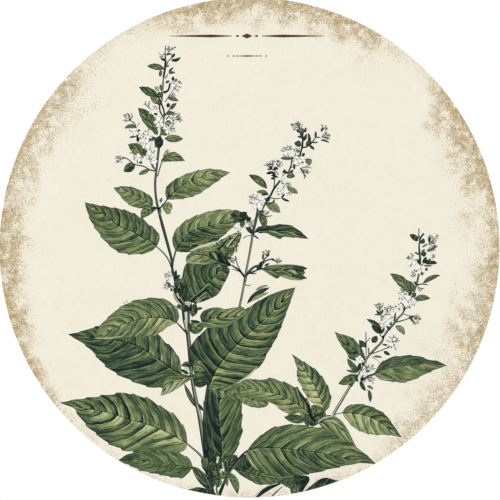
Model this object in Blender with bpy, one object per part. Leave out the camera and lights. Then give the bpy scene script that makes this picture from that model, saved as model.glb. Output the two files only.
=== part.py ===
"""Round wall print on an aluminium composite panel, with a keyhole hanger and two bumpers behind.

The row frame has +Z up. The wall is the plane Y = 0 and the picture faces -Y. The origin is where the
shank of the wall screw bears: in the wall plane, at the centre of the round upper end of the keyhole slot.
Lengths are in metres.
"""

import math

import bmesh
import bpy
from mathutils import Matrix

# Driving dimensions
DISC_DIAMETER = 0.300
DISC_CENTRE_BELOW_SCREW = 0.092
SHEET_THICKNESS = 0.0003  # aluminium skin of the composite panel
CORE_THICKNESS = 0.0024  # polyethylene between the skins

HANGER_WIDTH = 0.040
HANGER_HEIGHT = 0.064
HANGER_DEPTH = 0.0050  # from the foam tape to the wall
HANGER_SHEET = 0.0010
POCKET_WIDTH = 0.026
POCKET_HEIGHT = 0.038
SCREW_HEAD_HOLE_RADIUS = 0.0048
SLOT_RADIUS = 0.00225  # takes a 4 mm shank
SLOT_LENGTH = 0.0125  # from the centre of the head hole up to the origin
FOAM_TAPE_THICKNESS = 0.0008
FOAM_TAPE_INSET = 0.001  # how far the tape stops short of the flange's edge
FLANGE_CORNER = 0.004
POCKET_CORNER = 0.006
POCKET_EDGE = 0.0012  # rounding of the edge that rests on the wall
TAPE_CORNER = 0.003

BUMPER_DIAMETER = 0.016
BUMPER_TAPER = 0.1  # the share of its width that a bumper loses between panel and wall
BUMPER_SPACING = 0.140
BUMPERS_BELOW_CENTRE = 0.092
BUMPER_EDGE = 0.0018  # rounding of the edge that rests on the wall

GAP = 0.0003  # left between pieces that touch
CUT_MARGIN = 0.002  # how far a cutter runs past the wall it cuts

# How many flat faces stand for each curve
RIM_SEGMENTS = 256
ROUND_SEGMENTS = 48  # bumpers and the round parts of the keyhole
CORNER_SEGMENTS = 8
EDGE_SEGMENTS = 4

# Where each layer starts, as a distance in front of the wall
TAPE_BACK = HANGER_DEPTH + GAP
BACK_SHEET_BACK = TAPE_BACK + FOAM_TAPE_THICKNESS + GAP
CORE_BACK = BACK_SHEET_BACK + SHEET_THICKNESS + GAP
FRONT_SHEET_BACK = CORE_BACK + CORE_THICKNESS + GAP

# The pocket's middle, measured up from the origin, leaves the same wall above the slot as below the head hole
POCKET_MIDDLE = (SLOT_RADIUS - SLOT_LENGTH - SCREW_HEAD_HOLE_RADIUS) / 2

# Turns a shape modelled upwards along +Z so that it grows from the wall towards the viewer, along -Y
TOWARDS_VIEWER = Matrix.Rotation(math.radians(90), 4, "X")


def clear_scene():
    for obj in list(bpy.data.objects):
        bpy.data.objects.remove(obj)


def make_material(name, colour, roughness, metallic=0.0):
    material = bpy.data.materials.new(name)
    material.use_nodes = True
    shader = material.node_tree.nodes["Principled BSDF"]
    shader.inputs["Base Color"].default_value = (*colour, 1.0)
    shader.inputs["Roughness"].default_value = roughness
    shader.inputs["Metallic"].default_value = metallic
    return material


def add_object(name, bm, material):
    """Writes the bmesh to a new smooth-shaded object with sharp edges where its faces turn."""
    bmesh.ops.recalc_face_normals(bm, faces=bm.faces)
    mesh = bpy.data.meshes.new(name)
    bm.to_mesh(mesh)
    bm.free()
    mesh.shade_smooth()
    mesh.set_sharp_from_angle(angle=math.radians(35))
    obj = bpy.data.objects.new(name, mesh)
    bpy.context.scene.collection.objects.link(obj)
    if material:
        mesh.materials.append(material)
    return obj


def cylinder_bmesh(radius, depth, segments):
    """A solid cylinder whose base is on Z = 0."""
    bm = bmesh.new()
    lift = Matrix.Translation((0, 0, depth / 2))
    bmesh.ops.create_cone(
        bm, cap_ends=True, segments=segments, radius1=radius, radius2=radius, depth=depth, matrix=lift
    )
    return bm


def box_bmesh(width, height, depth):
    """A block centred on X and Y whose base is on Z = 0."""
    bm = bmesh.new()
    bmesh.ops.create_cube(bm, size=1.0)
    bmesh.ops.scale(bm, vec=(width, height, depth), verts=bm.verts)
    bmesh.ops.translate(bm, vec=(0, 0, depth / 2), verts=bm.verts)
    return bm


def round_edges(bm, edges, radius, segments):
    bmesh.ops.bevel(
        bm, geom=edges, offset=radius, offset_type="OFFSET", segments=segments, profile=0.5,
        affect="EDGES", material=-1,
    )


def upright_edges(bm):
    """The edges that run along Z, which are a block's corners seen from the front."""
    return [e for e in bm.edges if abs((e.verts[0].co - e.verts[1].co).normalized().z) > 0.99]


def edges_at(bm, level):
    return [e for e in bm.edges if all(abs(v.co.z - level) < 1e-6 for v in e.verts)]


def place(obj, x, in_front_of_wall, z):
    """Turns the object to face the viewer and sets its base this far in front of the wall."""
    obj.matrix_world = Matrix.Translation((x, -in_front_of_wall, z)) @ TOWARDS_VIEWER


def add_layer(name, thickness, in_front_of_wall, material):
    """One round layer of the composite panel."""
    layer = add_object(name, cylinder_bmesh(DISC_DIAMETER / 2, thickness, RIM_SEGMENTS), material)
    place(layer, 0, in_front_of_wall, -DISC_CENTRE_BELOW_SCREW)
    return layer


def add_panel():
    white_coat = make_material("white_coated_aluminium", (0.89, 0.84, 0.71), 0.55)
    core_black = make_material("polyethylene_core", (0.03, 0.03, 0.03), 0.6)
    bare_sheet = make_material("mill_aluminium", (0.72, 0.73, 0.74), 0.35, 1.0)
    add_layer("back_sheet", SHEET_THICKNESS, BACK_SHEET_BACK, bare_sheet)
    add_layer("core", CORE_THICKNESS, CORE_BACK, core_black)
    add_layer("front_sheet", SHEET_THICKNESS, FRONT_SHEET_BACK, white_coat)


def add_cutter(name, bm, x, in_front_of_wall, z):
    cutter = add_object(name, bm, None)
    place(cutter, x, in_front_of_wall, z)
    cutter.hide_render = True
    cutter.display_type = "WIRE"
    return cutter


def boolean(target, other, operation):
    modifier = target.modifiers.new(f"{operation.lower()}_{other.name}", "BOOLEAN")
    modifier.operation = operation
    modifier.object = other


def add_hanger():
    """A pressed steel plate: a flange taped to the panel and a raised pocket with a keyhole against the wall."""
    zinc = make_material("zinc_plated_steel", (0.62, 0.63, 0.62), 0.35, 1.0)
    flange = box_bmesh(HANGER_WIDTH, HANGER_HEIGHT, HANGER_SHEET)
    round_edges(flange, upright_edges(flange), FLANGE_CORNER, CORNER_SEGMENTS)
    hanger = add_object("hanger_plate", flange, zinc)
    place(hanger, 0, HANGER_DEPTH - HANGER_SHEET, POCKET_MIDDLE)

    pocket = box_bmesh(POCKET_WIDTH, POCKET_HEIGHT, HANGER_DEPTH - HANGER_SHEET / 2)
    round_edges(pocket, upright_edges(pocket), POCKET_CORNER, CORNER_SEGMENTS)
    round_edges(pocket, edges_at(pocket, 0.0), POCKET_EDGE, EDGE_SEGMENTS)
    raised = add_cutter("pocket_outside", pocket, 0, 0, POCKET_MIDDLE)
    boolean(hanger, raised, "UNION")

    inner_width = POCKET_WIDTH - 2 * HANGER_SHEET
    inner_height = POCKET_HEIGHT - 2 * HANGER_SHEET
    hollow = box_bmesh(inner_width, inner_height, HANGER_DEPTH - HANGER_SHEET + CUT_MARGIN)
    round_edges(hollow, upright_edges(hollow), POCKET_CORNER - HANGER_SHEET, CORNER_SEGMENTS)
    inside = add_cutter("pocket_inside", hollow, 0, HANGER_SHEET, POCKET_MIDDLE)
    boolean(hanger, inside, "DIFFERENCE")

    cut_depth = HANGER_SHEET + 2 * CUT_MARGIN
    for name, radius, height in (
        ("head_hole", SCREW_HEAD_HOLE_RADIUS, -SLOT_LENGTH),
        ("slot_end", SLOT_RADIUS, 0.0),
    ):
        hole = add_cutter(name, cylinder_bmesh(radius, cut_depth, ROUND_SEGMENTS), 0, -CUT_MARGIN, height)
        boolean(hanger, hole, "DIFFERENCE")
    slot = box_bmesh(2 * SLOT_RADIUS, SLOT_LENGTH, cut_depth)
    straight = add_cutter("slot_straight", slot, 0, -CUT_MARGIN, -SLOT_LENGTH / 2)
    boolean(hanger, straight, "DIFFERENCE")


def add_foam_tape():
    foam = make_material("white_foam_tape", (0.85, 0.85, 0.82), 0.8)
    width = HANGER_WIDTH - 2 * FOAM_TAPE_INSET
    height = HANGER_HEIGHT - 2 * FOAM_TAPE_INSET
    pad = box_bmesh(width, height, FOAM_TAPE_THICKNESS)
    round_edges(pad, upright_edges(pad), TAPE_CORNER, CORNER_SEGMENTS)
    place(add_object("hanger_tape", pad, foam), 0, TAPE_BACK, POCKET_MIDDLE)


def add_bumpers():
    """Two rubber feet that hold the lower half of the panel as far off the wall as the hanger holds the top."""
    rubber = make_material("grey_rubber", (0.12, 0.12, 0.12), 0.7)
    height = BACK_SHEET_BACK - GAP
    for name, side in (("bumper_left", -1), ("bumper_right", 1)):
        foot = cylinder_bmesh(BUMPER_DIAMETER / 2, height, ROUND_SEGMENTS)
        round_edges(foot, edges_at(foot, 0.0), BUMPER_EDGE, EDGE_SEGMENTS)
        for vert in foot.verts:
            # The foot widens towards the panel
            width = 1 - BUMPER_TAPER * (1 - vert.co.z / height)
            vert.co = (vert.co.x * width, vert.co.y * width, vert.co.z)
        bumper = add_object(name, foot, rubber)
        place(bumper, side * BUMPER_SPACING / 2, 0, -DISC_CENTRE_BELOW_SCREW - BUMPERS_BELOW_CENTRE)


def main():
    clear_scene()
    add_panel()
    add_foam_tape()
    add_hanger()
    add_bumpers()


main()
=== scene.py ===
import itertools
import math
import random

import bmesh
import bpy
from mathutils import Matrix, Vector


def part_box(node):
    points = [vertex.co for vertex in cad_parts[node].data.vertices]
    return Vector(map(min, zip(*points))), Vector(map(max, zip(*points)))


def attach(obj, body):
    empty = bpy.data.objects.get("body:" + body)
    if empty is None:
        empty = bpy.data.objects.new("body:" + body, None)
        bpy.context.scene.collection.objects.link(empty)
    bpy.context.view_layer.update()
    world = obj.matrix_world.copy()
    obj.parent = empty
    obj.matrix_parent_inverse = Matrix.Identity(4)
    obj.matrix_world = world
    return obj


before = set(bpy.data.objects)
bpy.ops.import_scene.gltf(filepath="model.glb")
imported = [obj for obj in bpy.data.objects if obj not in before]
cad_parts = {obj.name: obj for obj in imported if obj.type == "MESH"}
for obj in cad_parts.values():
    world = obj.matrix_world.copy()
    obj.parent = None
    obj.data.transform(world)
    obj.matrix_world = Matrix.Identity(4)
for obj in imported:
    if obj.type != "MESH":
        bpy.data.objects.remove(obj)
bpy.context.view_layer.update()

# Places in the drawing are (right, up) in millimetres from the middle of the disc.
mm = 0.001
sheetLow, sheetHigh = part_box("front_sheet")
discCentre = ((sheetLow.x + sheetHigh.x) / 2, (sheetLow.z + sheetHigh.z) / 2)
discRadius = (sheetHigh.x - sheetLow.x) / 2
faceY = sheetLow.y

printSettings = {
    "firstLayer": 0.050 * mm,  # ink film of layer 0 above the paper
    "layerStep": 0.022 * mm,  # between one ink film and the next above it
    "film": 0.012 * mm,  # thickness of an ink film
    "edgeLimit": discRadius - 0.25 * mm,  # ink stops this far from the middle
    "tiny": 1e-6,  # keeps a length that is divided by off zero
}


def linear(red, green, blue):
    shares = [c / 255 for c in (red, green, blue)]
    return tuple(c / 12.92 if c <= 0.04045 else ((c + 0.055) / 1.055) ** 2.4 for c in shares) + (1.0,)


# The nodes of one material: each call adds a node and returns what comes out of it.
class Graph:
    def __init__(self, name):
        self.material = bpy.data.materials.new(name)
        self.material.use_nodes = True
        self.nodes = self.material.node_tree.nodes
        self.links = self.material.node_tree.links
        self.shader = self.nodes["Principled BSDF"]

    def add(self, kind, **values):
        node = self.nodes.new(kind)
        for key, value in values.items():
            setattr(node, key, value)
        return node

    def plug(self, value, socket):
        if isinstance(value, bpy.types.NodeSocket):
            self.links.new(value, socket)
        else:
            socket.default_value = value

    def math(self, operation, *values):
        node = self.add("ShaderNodeMath", operation=operation)
        for value, socket in zip(values, node.inputs):
            self.plug(value, socket)
        return node.outputs[0]

    def times(self, value, amount):
        return self.math("MULTIPLY", value, amount)

    def sway(self, value, pattern, amount):
        # moves the value up or down with a pattern that lies about a half
        return self.math("MULTIPLY_ADD", self.math("SUBTRACT", pattern, 0.5), amount, value)

    def scaled(self, value, low, high, newLow=0.0, newHigh=1.0):
        node = self.add("ShaderNodeMapRange", interpolation_type="SMOOTHSTEP")
        for item, socket in zip((value, low, high, newLow, newHigh), node.inputs):
            self.plug(item, socket)
        return node.outputs[0]

    def mix(self, share, first, second, blend="MIX"):
        node = self.add("ShaderNodeMix", data_type="RGBA", blend_type=blend)
        self.plug(share, node.inputs["Factor"])
        self.plug(first, node.inputs["A"])
        self.plug(second, node.inputs["B"])
        return node.outputs["Result"]

    def blend(self, share, first, second):
        node = self.add("ShaderNodeMix", data_type="FLOAT")
        self.plug(share, node.inputs[0])
        self.plug(first, node.inputs[2])
        self.plug(second, node.inputs[3])
        return node.outputs[0]

    def join(self, *values):
        node = self.add("ShaderNodeCombineXYZ")
        for value, socket in zip(values, node.inputs):
            self.plug(value, socket)
        return node.outputs[0]

    def split(self, vector):
        node = self.add("ShaderNodeSeparateXYZ")
        self.plug(vector, node.inputs[0])
        return node.outputs

    def attribute(self, name):
        return self.split(self.add("ShaderNodeAttribute", attribute_name=name).outputs["Vector"])

    def place(self):
        return self.add("ShaderNodeTexCoord").outputs["Object"]

    def noise(self, vector, scale, detail=2.0, roughness=0.5):
        node = self.add("ShaderNodeTexNoise")
        self.plug(vector, node.inputs["Vector"])
        node.inputs["Scale"].default_value = scale
        node.inputs["Detail"].default_value = detail
        node.inputs["Roughness"].default_value = roughness
        return node.outputs["Fac"]

    def curve(self, value, points):
        node = self.add("ShaderNodeFloatCurve")
        self.plug(value, node.inputs["Value"])
        line = node.mapping.curves[0]
        line.points[0].location, line.points[1].location = points[0], points[-1]
        for place in points[1:-1]:
            line.points.new(*place)
        node.mapping.update()
        return node.outputs[0]

    def ramp(self, value, stops):
        node = self.add("ShaderNodeValToRGB")
        self.plug(value, node.inputs["Fac"])
        bar = node.color_ramp.elements
        bar[0].position, bar[0].color = stops[0]
        bar[1].position, bar[1].color = stops[-1]
        for position, colour in stops[1:-1]:
            bar.new(position).color = colour
        return node.outputs["Color"]

    def relief(self, height, strength, distance):
        node = self.add("ShaderNodeBump")
        node.inputs["Strength"].default_value = strength
        node.inputs["Distance"].default_value = distance
        self.plug(height, node.inputs["Height"])
        self.plug(node.outputs["Normal"], self.shader.inputs["Normal"])

    def finish(self, colour, roughness, specular):
        self.plug(colour, self.shader.inputs["Base Color"])
        self.plug(roughness, self.shader.inputs["Roughness"])
        self.shader.inputs["Specular IOR Level"].default_value = specular
        return self.material


# Printed green from the darkest to the palest, by brightness.
greens = [
    (0.06, linear(12, 27, 30)),
    (0.165, linear(20, 40, 39)),
    (0.26, linear(36, 57, 50)),
    (0.355, linear(57, 76, 58)),
    (0.455, linear(78, 95, 67)),
    (0.55, linear(98, 115, 79)),
    (0.655, linear(119, 136, 90)),
    (0.75, linear(141, 155, 105)),
    (0.85, linear(165, 174, 126)),
    (0.97, linear(200, 200, 162)),
]
sepias = [(0.1, linear(32, 36, 34)), (0.5, linear(118, 112, 98)), (1.0, linear(216, 208, 192))]
matt = {"roughness": 0.75, "specular": 0.08}  # every ink

leafDrawing = {
    "wander": 0.6,  # how far a vein strays, as a share of the gap between two veins
    # shade from one vein to the next: dark beside it, light in the middle, half dark before the next
    "shade": [
        (0.0, 0.3), (0.05, 0.08), (0.15, 0.26), (0.34, 0.5),
        (0.62, 0.8), (0.84, 0.84), (0.94, 0.5), (1.0, 0.36),
    ],
    "wideStrokes": (4.0, 2.0),  # between two veins, and from the middle vein to the edge
    "fineStrokes": (13.0, 3.0),
    "grain": 0.3,
    "blotches": 0.24,
    "veinPower": 2.7,  # a leaf with little contrast has faint veins
    "mostVein": 1.1,
    "darkRib": -0.24,
    "lightRib": 0.17,
    "stretch": (1.08, -0.04),  # of the brightness, at the end
    "warmTint": linear(255, 240, 196),
}


def leafInk():
    g = Graph("leaf_ink")
    look = leafDrawing
    phase, tone, warmth = g.attribute("ink")
    edge, rib, across = g.attribute("reach")
    seed, contrast, ribWidth = g.attribute("hand")
    place = g.place()
    phase = g.sway(phase, g.noise(place, 50.0, 2.0), look["wander"])
    cell = g.math("FRACT", phase)
    which = g.noise(g.join(g.math("FLOOR", phase), seed, 0.0), 3.7, 0.0)
    amount = g.times(contrast, g.blend(across, 1.15, 0.6))
    amount = g.times(amount, g.scaled(which, 0.3, 0.7, 0.6, 1.4))
    value = g.sway(tone, g.curve(cell, look["shade"]), amount)

    # pen strokes that run with the veins, wide and then fine
    def strokes(counts, detail, roughness):
        along, out = counts
        return g.noise(g.join(g.times(phase, along), g.times(across, out), seed), 1.0, detail, roughness)

    wide = strokes(look["wideStrokes"], 2.0, 0.6)
    value = g.math("ADD", value, g.scaled(wide, 0.34, 0.66, -0.11, 0.13))
    fine = strokes(look["fineStrokes"], 3.0, 0.65)
    value = g.math("ADD", value, g.scaled(fine, 0.36, 0.64, -0.10, 0.12))
    value = g.sway(value, g.noise(place, 900.0, 3.0, 0.65), look["grain"])
    value = g.sway(value, g.noise(place, 150.0, 2.0), look["blotches"])

    # each vein is a dark line with a light one before it
    drawn = g.math("MINIMUM", g.times(contrast, look["veinPower"]), look["mostVein"])
    vein = g.times(g.scaled(cell, 0.02, 0.085, 1.0, 0.0), g.blend(across, 0.28, 0.14))
    value = g.math("SUBTRACT", value, g.times(vein, drawn))
    lightLine = g.times(g.scaled(cell, 0.87, 0.94), g.scaled(cell, 0.95, 1.0, 1.0, 0.0))
    lightLine = g.times(lightLine, drawn)
    value = g.math("MULTIPLY_ADD", lightLine, g.scaled(across, 0.05, 0.9, 0.32, 0.10), value)
    value = g.math("SUBTRACT", value, g.scaled(edge, 0.1, 0.55, 0.10, 0.0))

    # the middle vein: a dark line with a light one beside it
    fromDark = g.math("ABSOLUTE", g.math("ADD", rib, 0.12))
    darkRib = g.scaled(fromDark, g.times(ribWidth, 0.4), ribWidth, 1.0, 0.0)
    fromLight = g.math("ABSOLUTE", g.math("SUBTRACT", rib, ribWidth))
    lightRib = g.scaled(fromLight, 0.0, g.times(ribWidth, 0.7), 1.0, 0.0)
    value = g.math("MULTIPLY_ADD", darkRib, look["darkRib"], value)
    value = g.math("MULTIPLY_ADD", lightRib, look["lightRib"], value)
    value = g.math("MULTIPLY_ADD", value, *look["stretch"])

    colour = g.ramp(value, greens)
    patches = g.scaled(g.noise(place, 110.0, 2.0, 0.6), 0.36, 0.64, -0.5, 0.6)
    warmth = g.math("MAXIMUM", g.math("ADD", warmth, patches), 0.0)
    colour = g.mix(g.times(warmth, g.times(value, 0.5)), colour, look["warmTint"], "MULTIPLY")
    return g.finish(colour, **matt)


# Stems, pale folds and stamens: lighter along the middle by "core", brown-grey by their warmth.
def lineInk():
    g = Graph("line_ink")
    core, tone, warmth = g.attribute("ink")
    side = g.attribute("reach")[0]
    ridge = g.scaled(g.math("ABSOLUTE", g.math("ADD", side, 0.18)), 0.1, 0.8, 1.0, 0.0)
    value = g.math("MULTIPLY_ADD", ridge, core, tone)
    value = g.sway(value, g.noise(g.place(), 700.0, 3.0, 0.6), 0.25)
    return g.finish(g.mix(warmth, g.ramp(value, greens), g.ramp(value, sepias)), **matt)


def petalInk():
    g = Graph("petal_ink")
    white, shadow = linear(252, 252, 248), linear(198, 205, 184)
    outline, centre = linear(86, 100, 72), linear(208, 140, 92)
    edge, shade, warmth = g.attribute("ink")
    place = g.place()
    grain = g.noise(place, 1500.0, 2.0, 0.6)
    edge = g.sway(edge, grain, 0.5)
    line = g.scaled(edge, 0.02, 0.26, 1.0, 0.0)
    line = g.times(line, g.scaled(g.noise(place, 420.0, 1.0, 0.5), 0.4, 0.56))  # the outline has gaps
    petal = g.mix(g.times(shade, grain), white, shadow)
    colour = g.mix(g.times(line, 0.85), petal, outline)
    return g.finish(g.mix(warmth, colour, centre), **matt)


def whiteInk():
    return Graph("under_white").finish(linear(250, 246, 236), **matt)


def brownInk():
    g = Graph("brown_ink")
    colour = g.mix(g.noise(g.place(), 900.0, 3.0, 0.7), linear(52, 36, 28), linear(104, 82, 64))
    return g.finish(colour, **matt)


# each ink with the record's slot that it fills
inks = {
    "brown": (brownInk(), "line_ink"),
    "leaf": (leafInk(), "leaf_ink"),
    "line": (lineInk(), "stem_ink"),
    "petal": (petalInk(), "petal_ink"),
    "white": (whiteInk(), "petal_ink"),
}
print("inks made")


def through(points):
    # a smooth line through the points, as a function of the share of its length
    lengths = [0.0]
    for a, b in zip(points, points[1:]):
        lengths.append(lengths[-1] + max(math.dist(a, b), printSettings["tiny"]))

    def at(share):
        want = min(max(share, 0.0), 1.0) * lengths[-1]
        i = max(k for k in range(len(points) - 1) if lengths[k] <= want + 1e-9)
        u = (want - lengths[i]) / (lengths[i + 1] - lengths[i])
        p1, p2 = points[i], points[i + 1]
        p0 = points[i - 1] if i else tuple(2 * a - b for a, b in zip(p1, p2))
        p3 = points[i + 2] if i + 2 < len(points) else tuple(2 * b - a for a, b in zip(p1, p2))
        return tuple(
            (2 * b + (c - a) * u + (2 * a - 5 * b + 4 * c - d) * u * u + (3 * b - a - 3 * c + d) * u**3) / 2
            for a, b, c, d in zip(p0, p1, p2, p3)
        )

    return at


def onSheet(point, depth):
    x, z = point[0] * mm, point[1] * mm
    reach = math.hypot(x, z)
    limit = printSettings["edgeLimit"]
    if reach > limit:
        x, z = x * limit / reach, z * limit / reach
    return (discCentre[0] + x, faceY - depth, discCentre[1] + z)


# One mesh that flat patches of one ink are gathered in.
class Film:
    def __init__(self, name, kind):
        self.name = name
        self.ink, self.slot = inks[kind]
        self.bm = bmesh.new()
        made = self.bm.loops.layers.float_vector
        self.layers = {key: made.new(key) for key in ("ink", "reach", "hand")}

    def patch(self, rows, columns, place, paint, layer):
        # place and paint take t, from -1 to 1 across the patch, and s, from 0 to 1 along it
        grid = bmesh.ops.create_grid(self.bm, x_segments=columns, y_segments=rows, size=1.0)["verts"]
        depth = printSettings["firstLayer"] + layer * printSettings["layerStep"]
        spots = {v: (v.co.x, (v.co.y + 1) / 2) for v in grid}
        faces = list(dict.fromkeys(f for v in grid for f in v.link_faces))
        for v, (t, s) in spots.items():
            v.co = onSheet(place(t, s), depth)
        for face in faces:
            face.normal_update()
            middle = sum(spots[v][0] for v in face.verts) / len(face.verts)
            for corner in face.loops:
                t, s = spots[corner.vert]
                values = paint(t, s, -1 if middle < 0 else 1)
                for key, value in values.items():
                    corner[self.layers[key]] = value
        if sum(face.normal.y for face in faces) > 0:
            bmesh.ops.reverse_faces(self.bm, faces=faces)

    def close(self):
        mesh = bpy.data.meshes.new(self.name)
        bmesh.ops.dissolve_degenerate(self.bm, dist=1e-7, edges=self.bm.edges[:])
        self.bm.to_mesh(mesh)
        self.bm.free()
        piece = bpy.data.objects.new(self.name, mesh)
        bpy.context.scene.collection.objects.link(piece)
        mesh.materials.append(self.ink)
        shell = piece.modifiers.new("film", "SOLIDIFY")
        shell.thickness = printSettings["film"]
        shell.offset = -1.0
        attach(piece, "root")


# The narrow white margin that the colour leaves around what is drawn. It lies below all the colour, and its
# patches lie on a few dozen levels in turn, so that those that overlap seldom share a level.
haloSettings = {"lowest": -0.9, "step": 0.01, "levels": 40, "margin": 0.55}
haloCount = itertools.count(1)
halo = Film("print_white_under", "white")


def addHalo(left, right, grow=haloSettings["margin"], rows=24):
    def place(t, s):
        a, b = left(s), right(s)
        wide = max(math.dist(a, b), printSettings["tiny"])
        side = ((b[0] - a[0]) / wide, (b[1] - a[1]) / wide)
        middle = ((a[0] + b[0]) / 2, (a[1] + b[1]) / 2)
        e = 0.01
        before, after = left(max(s - e, 0)), left(min(s + e, 1))
        other, ahead = right(max(s - e, 0)), right(min(s + e, 1))
        run = (after[0] + ahead[0] - before[0] - other[0], after[1] + ahead[1] - before[1] - other[1])
        length = max(math.hypot(*run), printSettings["tiny"])
        push = grow * (max(2 * s - 1, 0) ** 4 - max(1 - 2 * s, 0) ** 4)
        half = wide / 2 + grow
        return (
            middle[0] + side[0] * half * t + run[0] / length * push,
            middle[1] + side[1] * half * t + run[1] / length * push,
        )

    level = next(haloCount) % haloSettings["levels"]
    layer = haloSettings["lowest"] + haloSettings["step"] * level
    halo.patch(rows, 2, place, lambda t, s, side: {}, layer)


toothShape = {
    "shift": 0.3,  # teeth of the two halves don't face each other
    "slant": 1.5,  # above 1 a tooth rises slowly and ends steeply
    "inward": 0.4,  # how much of its depth is cut into the outline
    "ends": 5,  # teeth grow to their full depth over a fifth of the leaf
}


def addLeaf(film, leaf):
    # the first half is the one whose outline is "upper", the second the one whose outline is "lower"
    middle = through([leaf["base"]] + leaf["middle"] + [leaf["tip"]])
    edges = {
        -1: through([leaf["base"]] + leaf["upper"] + [leaf["tip"]]),
        1: through([leaf["base"]] + leaf["lower"] + [leaf["tip"]]),
    }
    teeth, bite = leaf.get("teeth", (0, 0.0))
    fade = leaf.get("fade", (0.0, 0.0))
    curl = leaf.get("curl", 1.4)
    warm = leaf.get("warm", 0.35)
    rows, columns = leaf.get("mesh", (64, 20))

    def outline(side, s):
        x, z = edges[side](s)
        if not teeth:
            return x, z
        mx, mz = middle(s)
        wide = max(math.hypot(x - mx, z - mz), printSettings["tiny"])
        saw = (teeth * s + toothShape["shift"] * side) % 1.0
        grown = min(1.0, toothShape["ends"] * s, toothShape["ends"] * (1 - s))
        out = bite * (saw ** toothShape["slant"] - toothShape["inward"]) * grown
        return x + (x - mx) / wide * out, z + (z - mz) / wide * out

    def place(t, s):
        mx, mz = middle(s)
        if not t:
            return mx, mz
        ex, ez = outline(-1 if t < 0 else 1, s)
        a = abs(t)
        return mx + (ex - mx) * a, mz + (ez - mz) * a

    def paint(t, s, side):
        k = 0 if side < 0 else 1
        a = abs(t)
        mx, mz = middle(s)
        ex, ez = edges[side](s)
        wide = math.hypot(ex - mx, ez - mz)
        low, mid, high = leaf["tones"][k]
        tone = low + (mid - low) * min(2 * s, 1.0) + (high - mid) * max(2 * s - 1, 0.0)
        tone += fade[k] * (a - 0.5) * 2
        run = leaf["veins"][k] * (s - leaf["lean"][k] * a**curl)
        return {
            "ink": (run, tone, warm),
            "reach": (wide * (1 - a), side * wide * a, a),
            "hand": (leaf["seed"] + 3.1 * k, leaf["contrast"], leaf["rib"] * (1.15 - 0.7 * s)),
        }

    film.patch(rows, columns, place, paint, leaf["layer"])
    if leaf.get("halo", True):
        addHalo(lambda s: outline(-1, s), lambda s: outline(1, s), rows=28)


def printLeaves(leaves):
    for leaf in leaves:
        film = Film(leaf["name"], "leaf")
        addLeaf(film, leaf)
        film.close()


def addStroke(film, points, widths, layer, core=0.2, tone=0.22, sepia=0.0, white=False, rows=None):
    # a drawn line whose widths are spread evenly along it, with a white margin if white
    line = through(points)
    length = sum(math.dist(a, b) for a, b in zip(points, points[1:]))

    def half(s):
        k = s * (len(widths) - 1)
        i = min(int(k), len(widths) - 2)
        return (widths[i] + (widths[i + 1] - widths[i]) * (k - i)) / 2

    def place(t, s):
        x, z = line(s)
        ax, az = line(max(s - 0.01, 0))
        bx, bz = line(min(s + 0.01, 1))
        run = max(math.hypot(bx - ax, bz - az), printSettings["tiny"])
        return x + (bz - az) / run * half(s) * t, z - (bx - ax) / run * half(s) * t

    def paint(t, s, side):
        return {"ink": (core, tone, sepia), "reach": (t, abs(t), 0.0)}

    film.patch(rows or max(3, int(length / 1.2)), 2, place, paint, layer)
    if white:
        addHalo(lambda s: place(-1, s), lambda s: place(1, s), rows=max(6, int(length / 3)))


def addPetal(film, base, tip, width, layer, shade=0.4, warm=0.0, rows=8):
    run = (tip[0] - base[0], tip[1] - base[1])
    length = max(math.hypot(*run), printSettings["tiny"])
    side = (-run[1] / length, run[0] / length)

    def wide(s):
        # narrow at the base, widest past the middle, round at the tip
        return width * math.sin(math.pi * (0.06 + 0.9 * s) ** 1.2) ** 0.6

    def place(t, s):
        out = wide(s) * t
        return base[0] + run[0] * s + side[0] * out, base[1] + run[1] * s + side[1] * out

    def paint(t, s, half):
        edge = min(wide(s) * (1 - abs(t)), length * (1 - s))
        return {"ink": (0.9 if warm else edge, shade, warm)}

    film.patch(rows, 4, place, paint, layer)


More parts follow.
